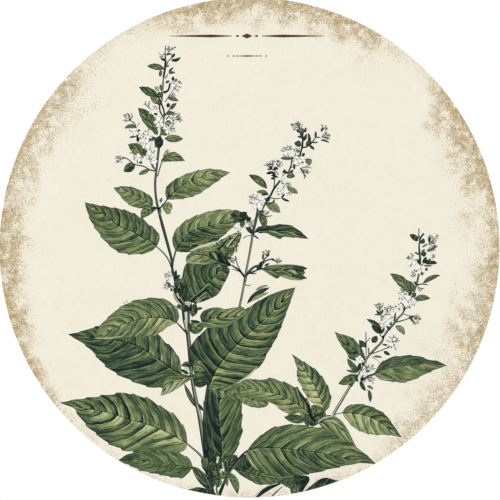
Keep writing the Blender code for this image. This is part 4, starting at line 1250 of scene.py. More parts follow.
# stems and leaf stalks: points from top to bottom, widths, light along the middle, tone, layer
stems = [
    ([(-50.4, 121.4), (-50.6, 117), (-50.4, 112)], [0.4, 0.6, 1.1], 0.1, 0.2, 7),
    ([(-50.4, 113), (-50.8, 107), (-51.6, 102)], [1.0, 1.3, 1.2], 0.1, 0.14, 5),
    ([(-51.5, 103), (-52, 97), (-52.4, 92), (-52.8, 87.2)], [0.9, 1.2, 1.1], 0.46, 0.26, 5),
    ([(-55, 91), (-53.2, 87), (-51.6, 83), (-50.9, 79)], [1.1, 1.0, 0.9], 0.1, 0.12, 6),
    ([(-54, 86.4), (-53.7, 82), (-51.8, 78.4)], [1.0, 0.9, 0.8], 0.1, 0.14, 6),
    ([(-51.2, 80), (-51.6, 76), (-52.6, 71), (-53.6, 66)], [1.0, 1.1, 1.0], 0.3, 0.34, 5),
    (
        [(-54.2, 61), (-54.9, 55), (-55.5, 49), (-56.2, 44), (-56.6, 38), (-56.2, 31), (-55, 24)],
        [1.5, 1.3, 1.4, 1.5], 0.3, 0.2, 5,
    ),
    (
        [(-55, 24.4), (-53.6, 18.6), (-51.4, 10.4), (-49, 1.6), (-47, -6), (-46.2, -11)],
        [1.4, 1.8, 1.7, 1.3], 0.22, 0.14, 6,
    ),
    (
        [(-46.6, -7), (-46.4, -12), (-45.2, -17), (-44, -22), (-42, -28), (-39, -35)],
        [1.3, 1.6, 1.6, 1.4], 0.3, 0.16, 5,
    ),
    ([(-39.9, -36.4), (-39.4, -43), (-38, -50)], [1.7, 1.5, 1.0], 0.1, 0.14, 5),
    ([(-36.6, -36.4), (-36.5, -43), (-36.7, -50)], [1.5, 1.4, 1.2], 0.3, 0.14, 5),
    (
        [(-37.6, -48), (-36.7, -54), (-36.1, -60), (-35.6, -66), (-35.2, -71), (-34.8, -78)],
        [2.6, 2.5, 2.4, 2.0], 0.42, 0.16, 5.1,
    ),
    (
        [(-34.6, -77), (-33.6, -84), (-32.2, -91), (-30.2, -100), (-28.6, -110), (-27.2, -120), (-26, -129)],
        [2.2, 2.2, 2.6, 2.6, 2.2], 0.5, 0.16, 5,
    ),
    (
        [(-24.6, -81), (-26, -90), (-27, -100), (-27, -112), (-26, -122), (-24.6, -132)],
        [1.5, 1.8, 1.8, 2.6, 3.6], 0.16, 0.1, 5.2,
    ),
    ([(-24.8, -84), (-26.2, -92), (-26.4, -100), (-25.4, -112)], [0.4, 0.5, 0.4], 0.0, 0.4, 5.6),
    ([(-22.6, -112), (-21.4, -120), (-19.6, -127)], [0.3, 0.6, 0.3], 0.0, 0.56, 5.6),
    ([(-23.6, -118), (-22.4, -126), (-21.6, -131)], [0.4, 0.6, 0.4], 0.0, 0.55, 5.6),
    ([(-26, -120), (-25.4, -126), (-25, -133)], [0.3, 0.5, 0.4], 0.0, 0.6, 5.6),
    ([(-49.4, 29), (-52, 25.4), (-54.6, 23)], [0.7, 1.0], 0.1, 0.2, 7),
    ([(-58, 24.2), (-56, 24), (-54, 23.2)], [0.6, 1.0], 0.0, 0.12, 7),
    ([(-54.8, 24), (-53.6, 22.4), (-54, 19.6)], [1.6, 1.8, 1.0], 0.4, 0.26, 7),
    ([(-56.2, 1), (-52.2, -2.6), (-49, -6.6), (-46.8, -11.6)], [0.8, 0.9, 1.0], 0.35, 0.3, 5),
    ([(-44.2, -1.8), (-45.6, -7), (-46.6, -13)], [1.0, 1.2], 0.35, 0.2, 5),
    ([(-43.4, -45.2), (-40, -48.8), (-37, -52)], [0.8, 1.2], 0.1, 0.16, 6),
    ([(-41, -76), (-38, -76.8), (-34.6, -77.4)], [1.1, 1.0], 0.2, 0.2, 7),
    ([(-37.4, -117.6), (-31, -123), (-26.6, -128), (-24.4, -131.6)], [0.9, 1.3, 1.2], 0.4, 0.28, 6),
    (
        [(-1.2, -121.6), (-5, -125), (-10, -131.4), (-14.6, -139.6), (-18.8, -150)],
        [1.0, 1.3, 1.6, 2.2], 0.1, 0.1, 8.4,
    ),
    ([(-5.4, -126.4), (-10.6, -133), (-15.6, -141.4)], [0.3, 0.4, 0.3], 0.0, 0.6, 8.7),
    ([(-28.6, -130.6), (-25.6, -134.6), (-23, -141), (-21.4, -146.6)], [0.8, 1.1, 0.9], 0.1, 0.12, 8),
    ([(-19.6, -142), (-19.8, -145), (-18.6, -150)], [0.8, 1.0, 1.2], 0.4, 0.16, 8),
    ([(12.6, 31), (14.6, 35.2), (18.4, 40.2)], [1.1, 1.2, 1.1], 0.0, 0.1, 6),
    ([(14.4, 35), (15, 39.6), (14.8, 43)], [0.6, 0.8], 0.2, 0.3, 6),
    ([(13.6, 47), (16, 45.6), (18.4, 42)], [0.6, 0.7], 0.2, 0.4, 8),
    ([(23.2, 45), (24.8, 48.8), (25.4, 53)], [0.9, 0.9, 0.7], 0.0, 0.12, 6),
    ([(24.8, 48.2), (27.4, 48.8), (29.6, 49.6)], [0.5, 0.4], 0.0, 0.34, 6),
    ([(27, 54.6), (30, 55.4), (31.2, 59), (31.8, 62), (32, 68)], [0.9, 1.0, 1.1, 0.8], 0.0, 0.1, 6),
    ([(31.4, 60), (34.4, 60.6), (37, 62.6), (39.6, 66)], [0.9, 0.8, 0.6], 0.0, 0.14, 6),
    ([(36.4, 61.6), (36.6, 64), (35, 68.6)], [0.8, 0.6], 0.0, 0.16, 6),
    ([(30.4, 56), (31, 53.6)], [0.6, 0.4], 0.0, 0.3, 6),
    ([(12.4, 30), (15, 29.4), (18.6, 29.6)], [0.7, 0.5], 0.0, 0.36, 6),
    ([(12.6, 31.4), (10.4, 28), (8.6, 24.6), (7.4, 22)], [1.2, 1.5, 1.0, 0.8], 0.3, 0.2, 5),
    ([(4.9, 23), (4.2, 18), (3, 13), (1.8, 8)], [1.2, 1.6, 1.7, 1.7], 0.25, 0.16, 5),
    (
        [(1.9, 8.4), (1, 2), (-0.6, -7), (-2.2, -15), (-3, -20), (-4.4, -28), (-6, -35.6)],
        [1.5, 1.3, 1.3, 1.4], 0.42, 0.26, 5,
    ),
    ([(-2.4, -17), (-2.8, -21)], [2.0, 1.4], 0.4, 0.2, 6),
    ([(-2.4, -17.4), (0.8, -13.2), (4.4, -10.8), (6.4, -11.4)], [1.0, 1.7, 1.4, 1.2], 0.3, 0.16, 6),
    ([(-2, -16.2), (1.4, -14.8), (6, -12.8)], [0.8, 1.0], 0.0, 0.16, 6),
    ([(7, -10.6), (9.4, -8.2), (12.2, -7), (14.6, -7.4), (17, -9.6)], [1.0, 0.8, 0.8, 0.4], 0.1, 0.2, 7),
    ([(8, -8.6), (9.6, -6.2), (11.6, -4.2)], [0.8, 0.6], 0.0, 0.16, 7),
    ([(-2.8, -21.8), (-1.4, -22.8), (0, -22.8), (1, -22)], [0.6, 0.5, 0.4], 0.0, 0.3, 6),
    ([(-3, -17.4), (-6.2, -13.6), (-10.6, -10.6)], [1.3, 0.9], 0.1, 0.14, 6),
    ([(-4.6, -15.4), (-7.2, -10.2), (-8.6, -5)], [0.8, 0.5], 0.2, 0.3, 6),
    ([(-5, -14.6), (-8, -13.6), (-10.8, -12.6)], [0.6, 0.4], 0.0, 0.34, 6),
    ([(2.2, 8.4), (3.6, 9.6), (5.4, 9.8)], [1.0, 0.9], 0.0, 0.14, 6),
    ([(1.8, 8.2), (-0.8, 10), (-2.4, 12.6)], [0.9, 0.6], 0.0, 0.2, 6),
    ([(1.2, 7.4), (-1.6, 7), (-4, 5.6)], [0.4, 0.5], 0.0, 0.4, 6),
    ([(3.6, 14), (0.6, 12.2), (-0.8, 14.6), (-3.6, 15.6)], [0.4, 0.4], 0.0, 0.5, 6),
    ([(50.2, -100), (55.4, -91.4), (60.6, -82.6)], [1.7, 1.7, 1.5], 0.75, 0.14, 5),
    ([(60.6, -83), (64.2, -78)], [1.9, 1.0], 0.2, 0.16, 6),
    (
        [(64, -78.8), (67.4, -72), (70, -67.2), (72.6, -63.6), (76, -60), (79.4, -56.4), (80.4, -53)],
        [0.7, 0.9, 1.2, 1.4, 1.3], 0.5, 0.14, 6,
    ),
    (
        [(80, -54), (83, -49.6), (86.6, -45.6), (89, -42.4), (91.6, -39.8), (92.8, -37.4)],
        [1.2, 1.4, 1.2, 1.0], 0.45, 0.14, 6,
    ),
    ([(92.9, -38), (92.6, -35), (90.4, -33)], [1.0, 1.3, 0.8], 0.0, 0.1, 7),
    ([(92.6, -37), (94.6, -36), (96.4, -35.4)], [0.6, 0.4], 0.0, 0.3, 7),
    ([(97.2, -30), (99, -25.4), (100.4, -21.4), (101.6, -15.6)], [0.9, 1.2, 1.2, 1.2], 0.4, 0.18, 6),
    ([(102.4, -10.6), (102.3, -6), (101.8, -1), (101.8, 3)], [1.2, 1.3, 1.1, 0.9], 0.2, 0.18, 6),
    ([(101.9, 2.6), (102.6, 5.8), (104.6, 8.6)], [0.8, 0.8, 1.2], 0.0, 0.2, 7),
    ([(101.6, 11.6), (101.6, 8.4), (101.4, 6)], [0.8, 0.5], 0.0, 0.66, 7),
    ([(100.4, -22.6), (103, -21.8), (107, -22.2)], [0.8, 0.6], 0.0, 0.24, 6),
    ([(88, -44.6), (91.4, -43.8), (95, -42.6), (98.4, -40.8)], [0.8, 0.6, 0.5], 0.0, 0.28, 6),
    ([(92.6, -39.8), (95.6, -40.8), (98.6, -41)], [0.6, 0.4], 0.0, 0.36, 6),
    ([(79.8, -45), (78.8, -41), (77.8, -35.4)], [0.6, 0.4], 0.0, 0.4, 7),
    ([(80, -43), (81, -40.2), (84.6, -40)], [0.6, 0.5, 0.4], 0.0, 0.4, 7),
    ([(72.6, -63.8), (78, -62), (83.6, -59.6)], [0.7, 0.5], 0.0, 0.36, 6),
    ([(73, -65.4), (76.6, -67.4), (78.4, -69.4)], [0.4, 0.3], 0.0, 0.5, 6),
    ([(69.8, -50.4), (69.9, -57), (70, -66)], [0.5, 0.7, 0.4], 0.0, 0.44, 6),
    ([(70, -57), (72.4, -54)], [0.4, 0.4], 0.0, 0.4, 6),
    ([(71.4, -60), (71.6, -64)], [0.6, 0.7], 0.0, 0.3, 7),
    ([(78, -52), (80.4, -54.4)], [0.5, 0.6], 0.0, 0.26, 6),
    ([(75, -75.8), (71, -77.2), (67, -80.2)], [1.2, 1.0, 0.8], 0.1, 0.16, 6),
    ([(70.2, -66), (70, -72), (70.6, -76.6)], [0.3, 0.3], 0.0, 0.5, 7),
    ([(69, -84.6), (71.8, -86.2)], [0.3, 0.4], 0.0, 0.4, 7),
    ([(55.8, -99.2), (53, -99.5), (50.2, -100.6)], [0.5, 0.7], 0.2, 0.4, 5),
    (
        [(-68, 71.6), (-69, 74.6), (-71.4, 76.2), (-72, 78.8), (-73.4, 80.6)],
        [0.6, 0.7, 0.6, 0.4], 0.0, 0.4, 7,
    ),
    ([(-71.6, 76.4), (-70, 79)], [0.5, 0.3], 0.0, 0.42, 7),
    ([(-71.6, 76.2), (-74, 76.4)], [0.4, 0.3], 0.0, 0.5, 7),
    ([(-67.4, 73), (-66, 75)], [0.4, 0.3], 0.0, 0.5, 7),
    ([(-66, 71), (-66.8, 69.4)], [1.2, 0.8], 0.0, 0.14, 7),
    (
        [(-57, 46), (-60, 46.8), (-63.6, 48.8), (-69, 50), (-73.4, 53.4), (-76.4, 54.2)],
        [0.9, 0.7, 0.7, 0.6], 0.1, 0.2, 6,
    ),
    ([(-76.2, 54.2), (-78, 52.8), (-79, 51.2)], [0.7, 1.2], 0.0, 0.12, 7),
    ([(-55.8, 45), (-57.6, 48.6), (-60, 53), (-61.8, 56)], [0.8, 0.6, 0.5], 0.0, 0.36, 6),
    ([(-57.6, 47.4), (-59.2, 50.6), (-57.8, 52.4), (-56.2, 50.6)], [0.5, 0.4, 0.4], 0.0, 0.4, 6),
    ([(-55.2, 42.6), (-54, 47), (-52.4, 52)], [0.7, 0.7], 0.2, 0.34, 6),
    ([(-51.4, 56), (-48.8, 59.4)], [0.4, 0.2], 0.0, 0.6, 6),
    ([(-50, 56), (-47.8, 58.8)], [0.3, 0.2], 0.0, 0.6, 6),
    ([(-51.6, 93), (-48.8, 94.4), (-47.6, 98.8)], [1.4, 1.1, 1.0], 0.0, 0.1, 8),
    ([(-50.6, 87.4), (-48, 91.6), (-44.8, 96)], [0.6, 0.5, 0.3], 0.0, 0.42, 7),
    ([(-48.4, 90), (-46, 92.4)], [0.4, 0.4], 0.0, 0.4, 7),
    ([(-50.6, 79.6), (-47.4, 83.6), (-44, 86.4)], [0.6, 0.5], 0.0, 0.2, 7),
    ([(-50, 77), (-48.4, 79)], [0.8, 0.5], 0.0, 0.14, 7),
    ([(-50, 75.6), (-48, 76), (-46.4, 74.6)], [0.8, 1.0, 0.8], 0.0, 0.14, 8.4),
    ([(-50.6, 101.4), (-49, 104)], [0.5, 0.5], 0.0, 0.34, 7),
    ([(-50.2, 109), (-48.4, 112.4), (-46.6, 114)], [0.6, 0.5], 0.1, 0.3, 7),
    ([(-50.6, 108.6), (-48.4, 109)], [0.7, 0.7], 0.0, 0.12, 8),
    ([(3, -151), (10, -145.2), (18.6, -141.4)], [1.2, 2.6, 1.0], 0.05, 0.12, 5),
    ([(2.2, -149.6), (9, -144.2), (16, -141)], [0.3, 0.5, 0.3], 0.0, 0.62, 5.8),
    ([(12, -150.4), (16, -146.6), (19.8, -143.2)], [0.9, 1.0, 0.5], 0.4, 0.2, 5),
    ([(35.4, -94), (36.6, -100), (39.6, -104.4)], [1.4, 2.0, 1.2], 0.0, 0.08, 8.6),
    ([(28.4, -83.4), (31, -88.6), (35.2, -94.6)], [0.7, 1.0, 1.2], 0.0, 0.14, 7.6),
]
# pale folds and glints on top of the leaves: points, widths, tone, layer
glints = [
    ([(-6.4, -80.6), (-1, -77), (4.4, -71.8)], [0.5, 1.0, 0.4], 0.9, 8),
    ([(-34.8, 2), (-30, 3.4), (-25, 5.6)], [0.7, 0.5, 0.3], 0.72, 7.4),
    ([(-34.6, 1.2), (-31, 1.4), (-27, 3.4), (-23, 5.6)], [0.9, 0.8, 0.4], 0.12, 7.2),
    ([(-32.8, 2.6), (-29, 4), (-26.4, 5.8)], [0.6, 0.8, 0.3], 0.14, 7.1),
    ([(-31, 1.6), (-27, 3), (-22, 6.2)], [0.7, 0.5, 0.3], 0.74, 7.5),
    ([(-27.6, 2), (-24, 3.8), (-21.6, 5.4)], [0.6, 0.7, 0.4], 0.2, 7.2),
    ([(-35.4, 0.6), (-35, 2.2)], [0.4, 0.3], 0.8, 7.5),
    ([(-35.6, -2), (-29.6, 0.4), (-24, 2.2), (-19.4, 3.8)], [0.6, 1.7, 1.9, 0.5], 1.0, 7),
    ([(-35.4, -2.8), (-30, -0.6), (-24, 0.8)], [0.5, 0.7, 0.4], 0.62, 7.1),
    ([(-13.6, 0.4), (-10.6, 4.4), (-7, 8.4)], [0.9, 0.5, 0.3], 1.1, 7.4),
    ([(-12.6, 0.4), (-9.6, 4), (-6.6, 7.6)], [0.5, 0.6, 0.3], 0.14, 7.3),
    ([(-10, 1.6), (-8.4, -0.2), (-8.8, -2.4)], [0.6, 0.9, 0.4], 1.1, 7.4),
    ([(-9, 1.2), (-7.6, -1), (-8.2, -3)], [0.5, 0.7, 0.4], 0.14, 7.3),
    ([(-13.4, -3.4), (-11, -5.2), (-11.8, -7.6), (-9, -9.4)], [0.5, 0.7, 0.6, 0.4], 0.12, 7.3),
    ([(-12.6, -4), (-10.4, -6), (-10.4, -8)], [0.4, 0.5, 0.3], 0.92, 7.4),
    ([(-16, -1), (-13, -3), (-14, -6)], [0.4, 0.5, 0.3], 0.24, 7.2),
    ([(-18.6, -1.4), (-14.4, 3.6), (-10.6, 6.6)], [0.8, 0.7, 0.3], 0.14, 7.2),
    ([(-35.6, -31.2), (-30.2, -26.8), (-24.4, -21.4)], [0.4, 0.7, 1.0], 0.66, 7.2),
    ([(-35, -31.8), (-29.4, -27.4), (-24, -23)], [0.8, 1.2, 0.5], 0.12, 7.1),
    ([(-31.6, -28.2), (-28, -26.6), (-24.2, -25.6)], [0.7, 0.8, 0.4], 0.18, 7.15),
    ([(-32.2, -32.2), (-29.2, -29.2), (-25.4, -26.6)], [0.6, 0.5, 0.4], 0.8, 7.3),
    ([(-30.8, -33), (-28.6, -30.6), (-26, -28.8)], [0.5, 0.4, 0.3], 0.86, 7.35),
    ([(-33.4, -31), (-29, -26.8), (-26, -25.4)], [0.7, 0.8, 0.4], 0.12, 7.25),
    ([(-31.6, -33), (-28, -29.8), (-25, -28.2)], [0.5, 0.6, 0.3], 0.14, 7.25),
    ([(-31.8, -33.2), (-30, -31)], [0.5, 0.3], 0.9, 7.4),
    ([(-92.6, -54.3), (-84, -54.2), (-75.4, -52.8)], [0.4, 0.7, 0.3], 0.9, 7),
    ([(-76, -33.4), (-73, -31.8)], [0.5, 0.4], 0.9, 7),
    ([(-81.4, 1.7), (-76, 2.4), (-71, 3.2)], [0.3, 0.5, 0.3], 0.94, 7),
    ([(-58.4, -65.2), (-54.6, -67.6)], [0.4, 0.5], 0.7, 7),
    ([(-6, -57.9), (2, -58), (9, -56.2), (13.6, -53.6)], [0.3, 0.5, 0.3], 0.7, 8),
    ([(-12.4, -65), (-6, -66.8), (2, -66.4), (9.4, -62.6)], [0.3, 0.5, 0.3], 0.74, 8),
    ([(1.4, -50.9), (7, -51), (14.6, -47.6)], [0.3, 0.5, 0.3], 0.7, 8),
    ([(4, -48.6), (8, -48.2), (12.4, -46)], [0.6, 1.2, 0.4], 0.7, 8),
    ([(9, -42.4), (13.4, -41.6), (20, -36.4)], [0.3, 0.6, 0.3], 0.7, 8),
    ([(-27.6, -45.4), (-20, -44.6), (-10, -44.2), (-3, -40.6)], [0.4, 0.5, 0.5, 0.3], 0.7, 9),
    ([(-27, -47.8), (-18, -47.2), (-10, -45.4)], [0.4, 0.5, 0.3], 0.66, 9),
    ([(1, -121.6), (3.4, -126), (7, -131)], [0.8, 1.6, 0.4], 0.7, 7),
    ([(26.8, -121.6), (30, -127.4), (36.4, -131.4)], [0.3, 0.5, 0.3], 0.8, 7),
    ([(4, -122), (6.4, -127), (10, -132)], [0.6, 0.9, 0.3], 0.66, 7),
    ([(-1.4, -124), (1, -129), (5, -133.4)], [0.5, 1.0, 0.3], 0.86, 7),
    ([(4.6, -121.8), (9, -129), (15, -135.4)], [1.2, 1.4, 0.3], 0.62, 7),
    ([(6, -135.4), (14, -137.6), (26, -137.4)], [0.3, 0.6, 0.4], 0.66, 7),
    ([(41, -104.6), (45, -102), (50.4, -100.9)], [0.7, 0.8, 0.4], 0.92, 8.2),
    ([(44.6, -104), (50, -104.2), (56, -107.8)], [0.5, 1.2, 0.3], 0.82, 8.2),
    ([(-22, -3.2), (-20.6, -4.8), (-19.8, -7.6)], [1.4, 1.5, 0.3], 0.74, 7.6),
    ([(-24.2, -3), (-23.2, -5), (-21.4, -7.2)], [1.0, 1.2, 0.6], 0.2, 7.5),
    ([(-18.6, -3.4), (-17.2, -6.8), (-14.6, -9.6)], [2.2, 2.6, 1.0], 0.1, 7.5),
    ([(-19, -10.6), (-17, -11.6)], [1.0, 0.5], 0.8, 7),
    ([(-38, -8.8), (-30, -9.4), (-24, -9)], [0.6, 0.8, 0.4], 0.78, 7),
    ([(-43.4, -27.2), (-42.2, -30.4)], [1.0, 0.7], 0.97, 9),
    ([(-45.8, -26), (-44.2, -30.4), (-41, -34.4)], [0.4, 0.6, 0.6], 1.0, 9),
    ([(-41.6, -29.6), (-39.6, -33)], [0.6, 0.5], 0.8, 9),
    ([(-38.9, -32.8), (-37.6, -33.2), (-36, -33.4), (-34.9, -33.2)], [0.8, 2.2, 2.4, 0.7], 0.9, 9),
    ([(-39, -43.4), (-38, -49)], [0.6, 0.4], 0.95, 9),
    ([(-38.1, -38.4), (-37.9, -44), (-37.4, -49.6)], [0.8, 0.8, 0.3], 1.1, 9),
    ([(-44.8, -35.4), (-43, -36.8), (-41, -36.8)], [0.5, 0.7, 0.4], 0.96, 9),
    ([(-48.4, -34.8), (-46.6, -35.8)], [0.6, 0.3], 0.9, 9),
    ([(76.4, -77.6), (81, -78.9), (86, -79)], [0.5, 0.9, 0.4], 0.8, 7),
    ([(78, -74.4), (86, -72.2), (92, -71.6)], [0.3, 0.4, 0.3], 0.66, 7),
    ([(-33.8, -71), (-30, -71.4), (-27.6, -73)], [0.5, 0.7, 0.3], 0.8, 9),
    ([(-38.6, -71.8), (-37, -73.8)], [1.5, 0.8], 0.98, 9),
    ([(-36.6, -71.4), (-35.6, -75)], [0.8, 0.5], 0.7, 9.2),
    ([(-31.4, -94.6), (-30, -99), (-28.8, -103)], [0.5, 1.0, 0.4], 0.9, 9),
    ([(-27, -104), (-27.6, -92)], [0.3, 0.4], 0.6, 9),
    ([(-26.4, -126), (-24.6, -130.4)], [0.6, 0.3], 0.6, 9),
    ([(-19.2, -125.6), (-18.8, -128.4)], [1.1, 0.8], 0.98, 9),
    ([(-16.2, -128.8), (-15.8, -132.6)], [0.8, 0.5], 0.94, 9),
    ([(-24.4, -129.6), (-21.6, -129)], [0.4, 0.3], 0.62, 9),
    ([(-22.6, -134.4), (-18.4, -134.2), (-15, -136)], [0.3, 0.5, 0.3], 0.66, 9),
    ([(-20.6, -140), (-16.8, -139.4)], [0.4, 0.3], 0.7, 9),
    ([(-33.4, -131.4), (-29.6, -133.4), (-25.4, -139.6), (-23, -145)], [0.4, 0.5, 0.5, 0.3], 0.6, 9),
    ([(-32.2, -132), (-28.6, -135), (-25, -141)], [0.6, 0.7, 0.5], 0.14, 8.9),
    ([(-19.4, -145.6), (-18.2, -149.6)], [0.6, 1.0], 0.7, 9),
    ([(-24.6, -129), (-23.4, -134), (-21.6, -139)], [0.5, 0.9, 0.5], 0.08, 9),
    ([(-20, -130), (-19.4, -134), (-18, -138)], [0.5, 0.8, 0.4], 0.08, 9),
    ([(-22.6, -136.6), (-19.4, -138.4), (-18.4, -141.6)], [0.4, 0.7, 0.4], 0.1, 9),
    ([(-16.6, -133.6), (-15, -136.4)], [0.5, 0.6], 0.1, 9),
    ([(-27, -133), (-25.4, -136.6)], [0.4, 0.9], 0.1, 9),
]
lineFinish = {
    "paleStem": 0.42,  # stems at least this light along the middle are greyer than the others
    "paleStemSepia": 0.5,
    "stemSepia": 0.15,
    "wideStalk": 0.7,  # a straight stalk wider than this has a white margin, as every bent one has
    "paleFold": 0.75,  # folds brighter than this are browner
    "paleFoldSepia": 0.3,
}

film = Film("stems", "line")
for points, widths, core, tone, layer in stems:
    sepia = lineFinish["paleStemSepia"] if core >= lineFinish["paleStem"] else lineFinish["stemSepia"]
    white = len(points) > 2 or widths[0] > lineFinish["wideStalk"]
    addStroke(film, points, widths, layer, core, tone, sepia, white)
film.close()

film = Film("pale_folds", "line")
for points, widths, tone, layer in glints:
    sepia = lineFinish["paleFoldSepia"] if tone > lineFinish["paleFold"] else 0.0
    addStroke(film, points, widths, layer, 0.0, tone, sepia)
film.close()
print("stems printed")


# flowers: middle, radius, how far the first petal is turned, and whether the orange middle shows
flowers = {
    "left_spike": [
        {"at": (-54.2, 75.2), "size": 3.3, "turn": 0.5, "centre": True},
        {"at": (-58.4, 82), "size": 2.8, "stamens": 5},
        {"at": (-62, 62.2), "size": 2.9, "turn": 0.2, "centre": True},
        {"at": (-61, 67.6), "size": 2.9, "turn": 0.8, "centre": True},
        {"at": (-69.4, 69), "size": 2.5},
        {"at": (-65, 67.6), "size": 1.9, "centre": True},
        {"at": (-48.4, 70.6), "size": 2.6, "stamens": 4},
        {"at": (-45.2, 77.2), "size": 2.9, "stamens": 6},
        {"at": (-43.8, 97.6), "size": 2.7, "stamens": 5},
        {"at": (-59.6, 55.4), "size": 2.7, "stamens": 3},
        {"at": (-57.4, 52), "size": 2.2, "stamens": 2},
        {"at": (-67, 54), "size": 2.6, "stamens": 6},
        {"at": (-47, 118.4), "size": 2.4, "stamens": 5},
        {"at": (-52.6, 115.4), "size": 1.5, "stamens": 3},
        {"at": (-77.4, 53), "size": 1.7, "stamens": 5},
        {"at": (-73.6, 78), "size": 1.8, "stamens": 6},
        {"at": (-58, 59.4), "size": 2.0, "stamens": 3},
    ],
    "middle_spike": [
        {"at": (22.6, 57.6), "size": 3.0, "stamens": 6},
        {"at": (28.4, 52.8), "size": 2.6, "turn": 0.4, "centre": True},
        {"at": (31.8, 52.8), "size": 1.9},
        {"at": (18.8, 42), "size": 2.3},
        {"at": (18.6, 33.8), "size": 2.4, "turn": 0.9, "centre": True},
        {"at": (4.4, 26), "size": 3.2, "turn": 0.3, "centre": True},
        {"at": (7.4, 28), "size": 2.4},
        {"at": (2, 28.6), "size": 2.2, "stamens": 5},
        {"at": (27.4, 73), "size": 2.2, "stamens": 8, "petals": 3},
        {"at": (-6.4, 11.6), "size": 2.2},
        {"at": (33.4, 44.6), "size": 1.6, "stamens": 9, "petals": 3},
        {"at": (21.4, 38), "size": 1.6, "stamens": 5},
        {"at": (16, 51), "size": 1.5, "stamens": 8, "petals": 2},
        {"at": (12, 49.4), "size": 1.4, "stamens": 6, "petals": 2},
        {"at": (27.6, 57.4), "size": 1.4, "stamens": 5, "petals": 3},
        {"at": (45.6, 70.6), "size": 1.2, "stamens": 4, "petals": 2},
        {"at": (47, 67), "size": 1.2, "stamens": 4, "petals": 2},
        {"at": (11.2, -2.8), "size": 1.2, "stamens": 2, "petals": 3},
        {"at": (18.4, -8.4), "size": 1.0, "stamens": 3, "petals": 3},
        {"at": (23.6, 31.8), "size": 1.6, "stamens": 2, "petals": 3},
    ],
    "right_spike": [
        {"at": (102.6, -12.8), "size": 2.8, "turn": 0.6, "centre": True},
        {"at": (95.2, -32.4), "size": 3.3, "turn": 0.1, "centre": True},
        {"at": (98.4, -32.6), "size": 2.2},
        {"at": (91.4, -28.8), "size": 2.6, "stamens": 4},
        {"at": (90.6, -35.4), "size": 1.9},
        {"at": (82.4, -43.6), "size": 3.3, "stamens": 2},
        {"at": (79.8, -45.8), "size": 2.1, "turn": 0.2, "centre": True},
        {"at": (83.2, -36.6), "size": 2.3, "stamens": 4},
        {"at": (87, -36.4), "size": 1.6, "stamens": 3, "petals": 3},
        {"at": (86.4, -57), "size": 3.3, "stamens": 5},
        {"at": (66, -67), "size": 2.3, "stamens": 2},
        {"at": (68.4, -75.2), "size": 2.4, "stamens": 3},
        {"at": (72.2, -72.2), "size": 2.0, "stamens": 4},
        {"at": (97.6, -7.6), "size": 3.0, "stamens": 5},
        {"at": (109.8, -6.8), "size": 1.3, "stamens": 0},
        {"at": (110.6, 5.6), "size": 2.4, "stamens": 7},
        {"at": (100.4, -43.8), "size": 1.9, "stamens": 8, "petals": 3},
        {"at": (77.4, -34.6), "size": 1.4, "stamens": 5, "petals": 2},
        {"at": (99, -14.6), "size": 1.4, "stamens": 4, "petals": 2},
        {"at": (73.6, -79.4), "size": 1.6, "stamens": 3, "petals": 2},
        {"at": (109, 1.6), "size": 1.5, "stamens": 2, "petals": 3},
    ],
    "node": [
        {"at": (-48.6, -17.4), "size": 2.0, "stamens": 3},
        {"at": (-47.4, -24), "size": 1.3, "stamens": 5, "petals": 3},
    ],
}
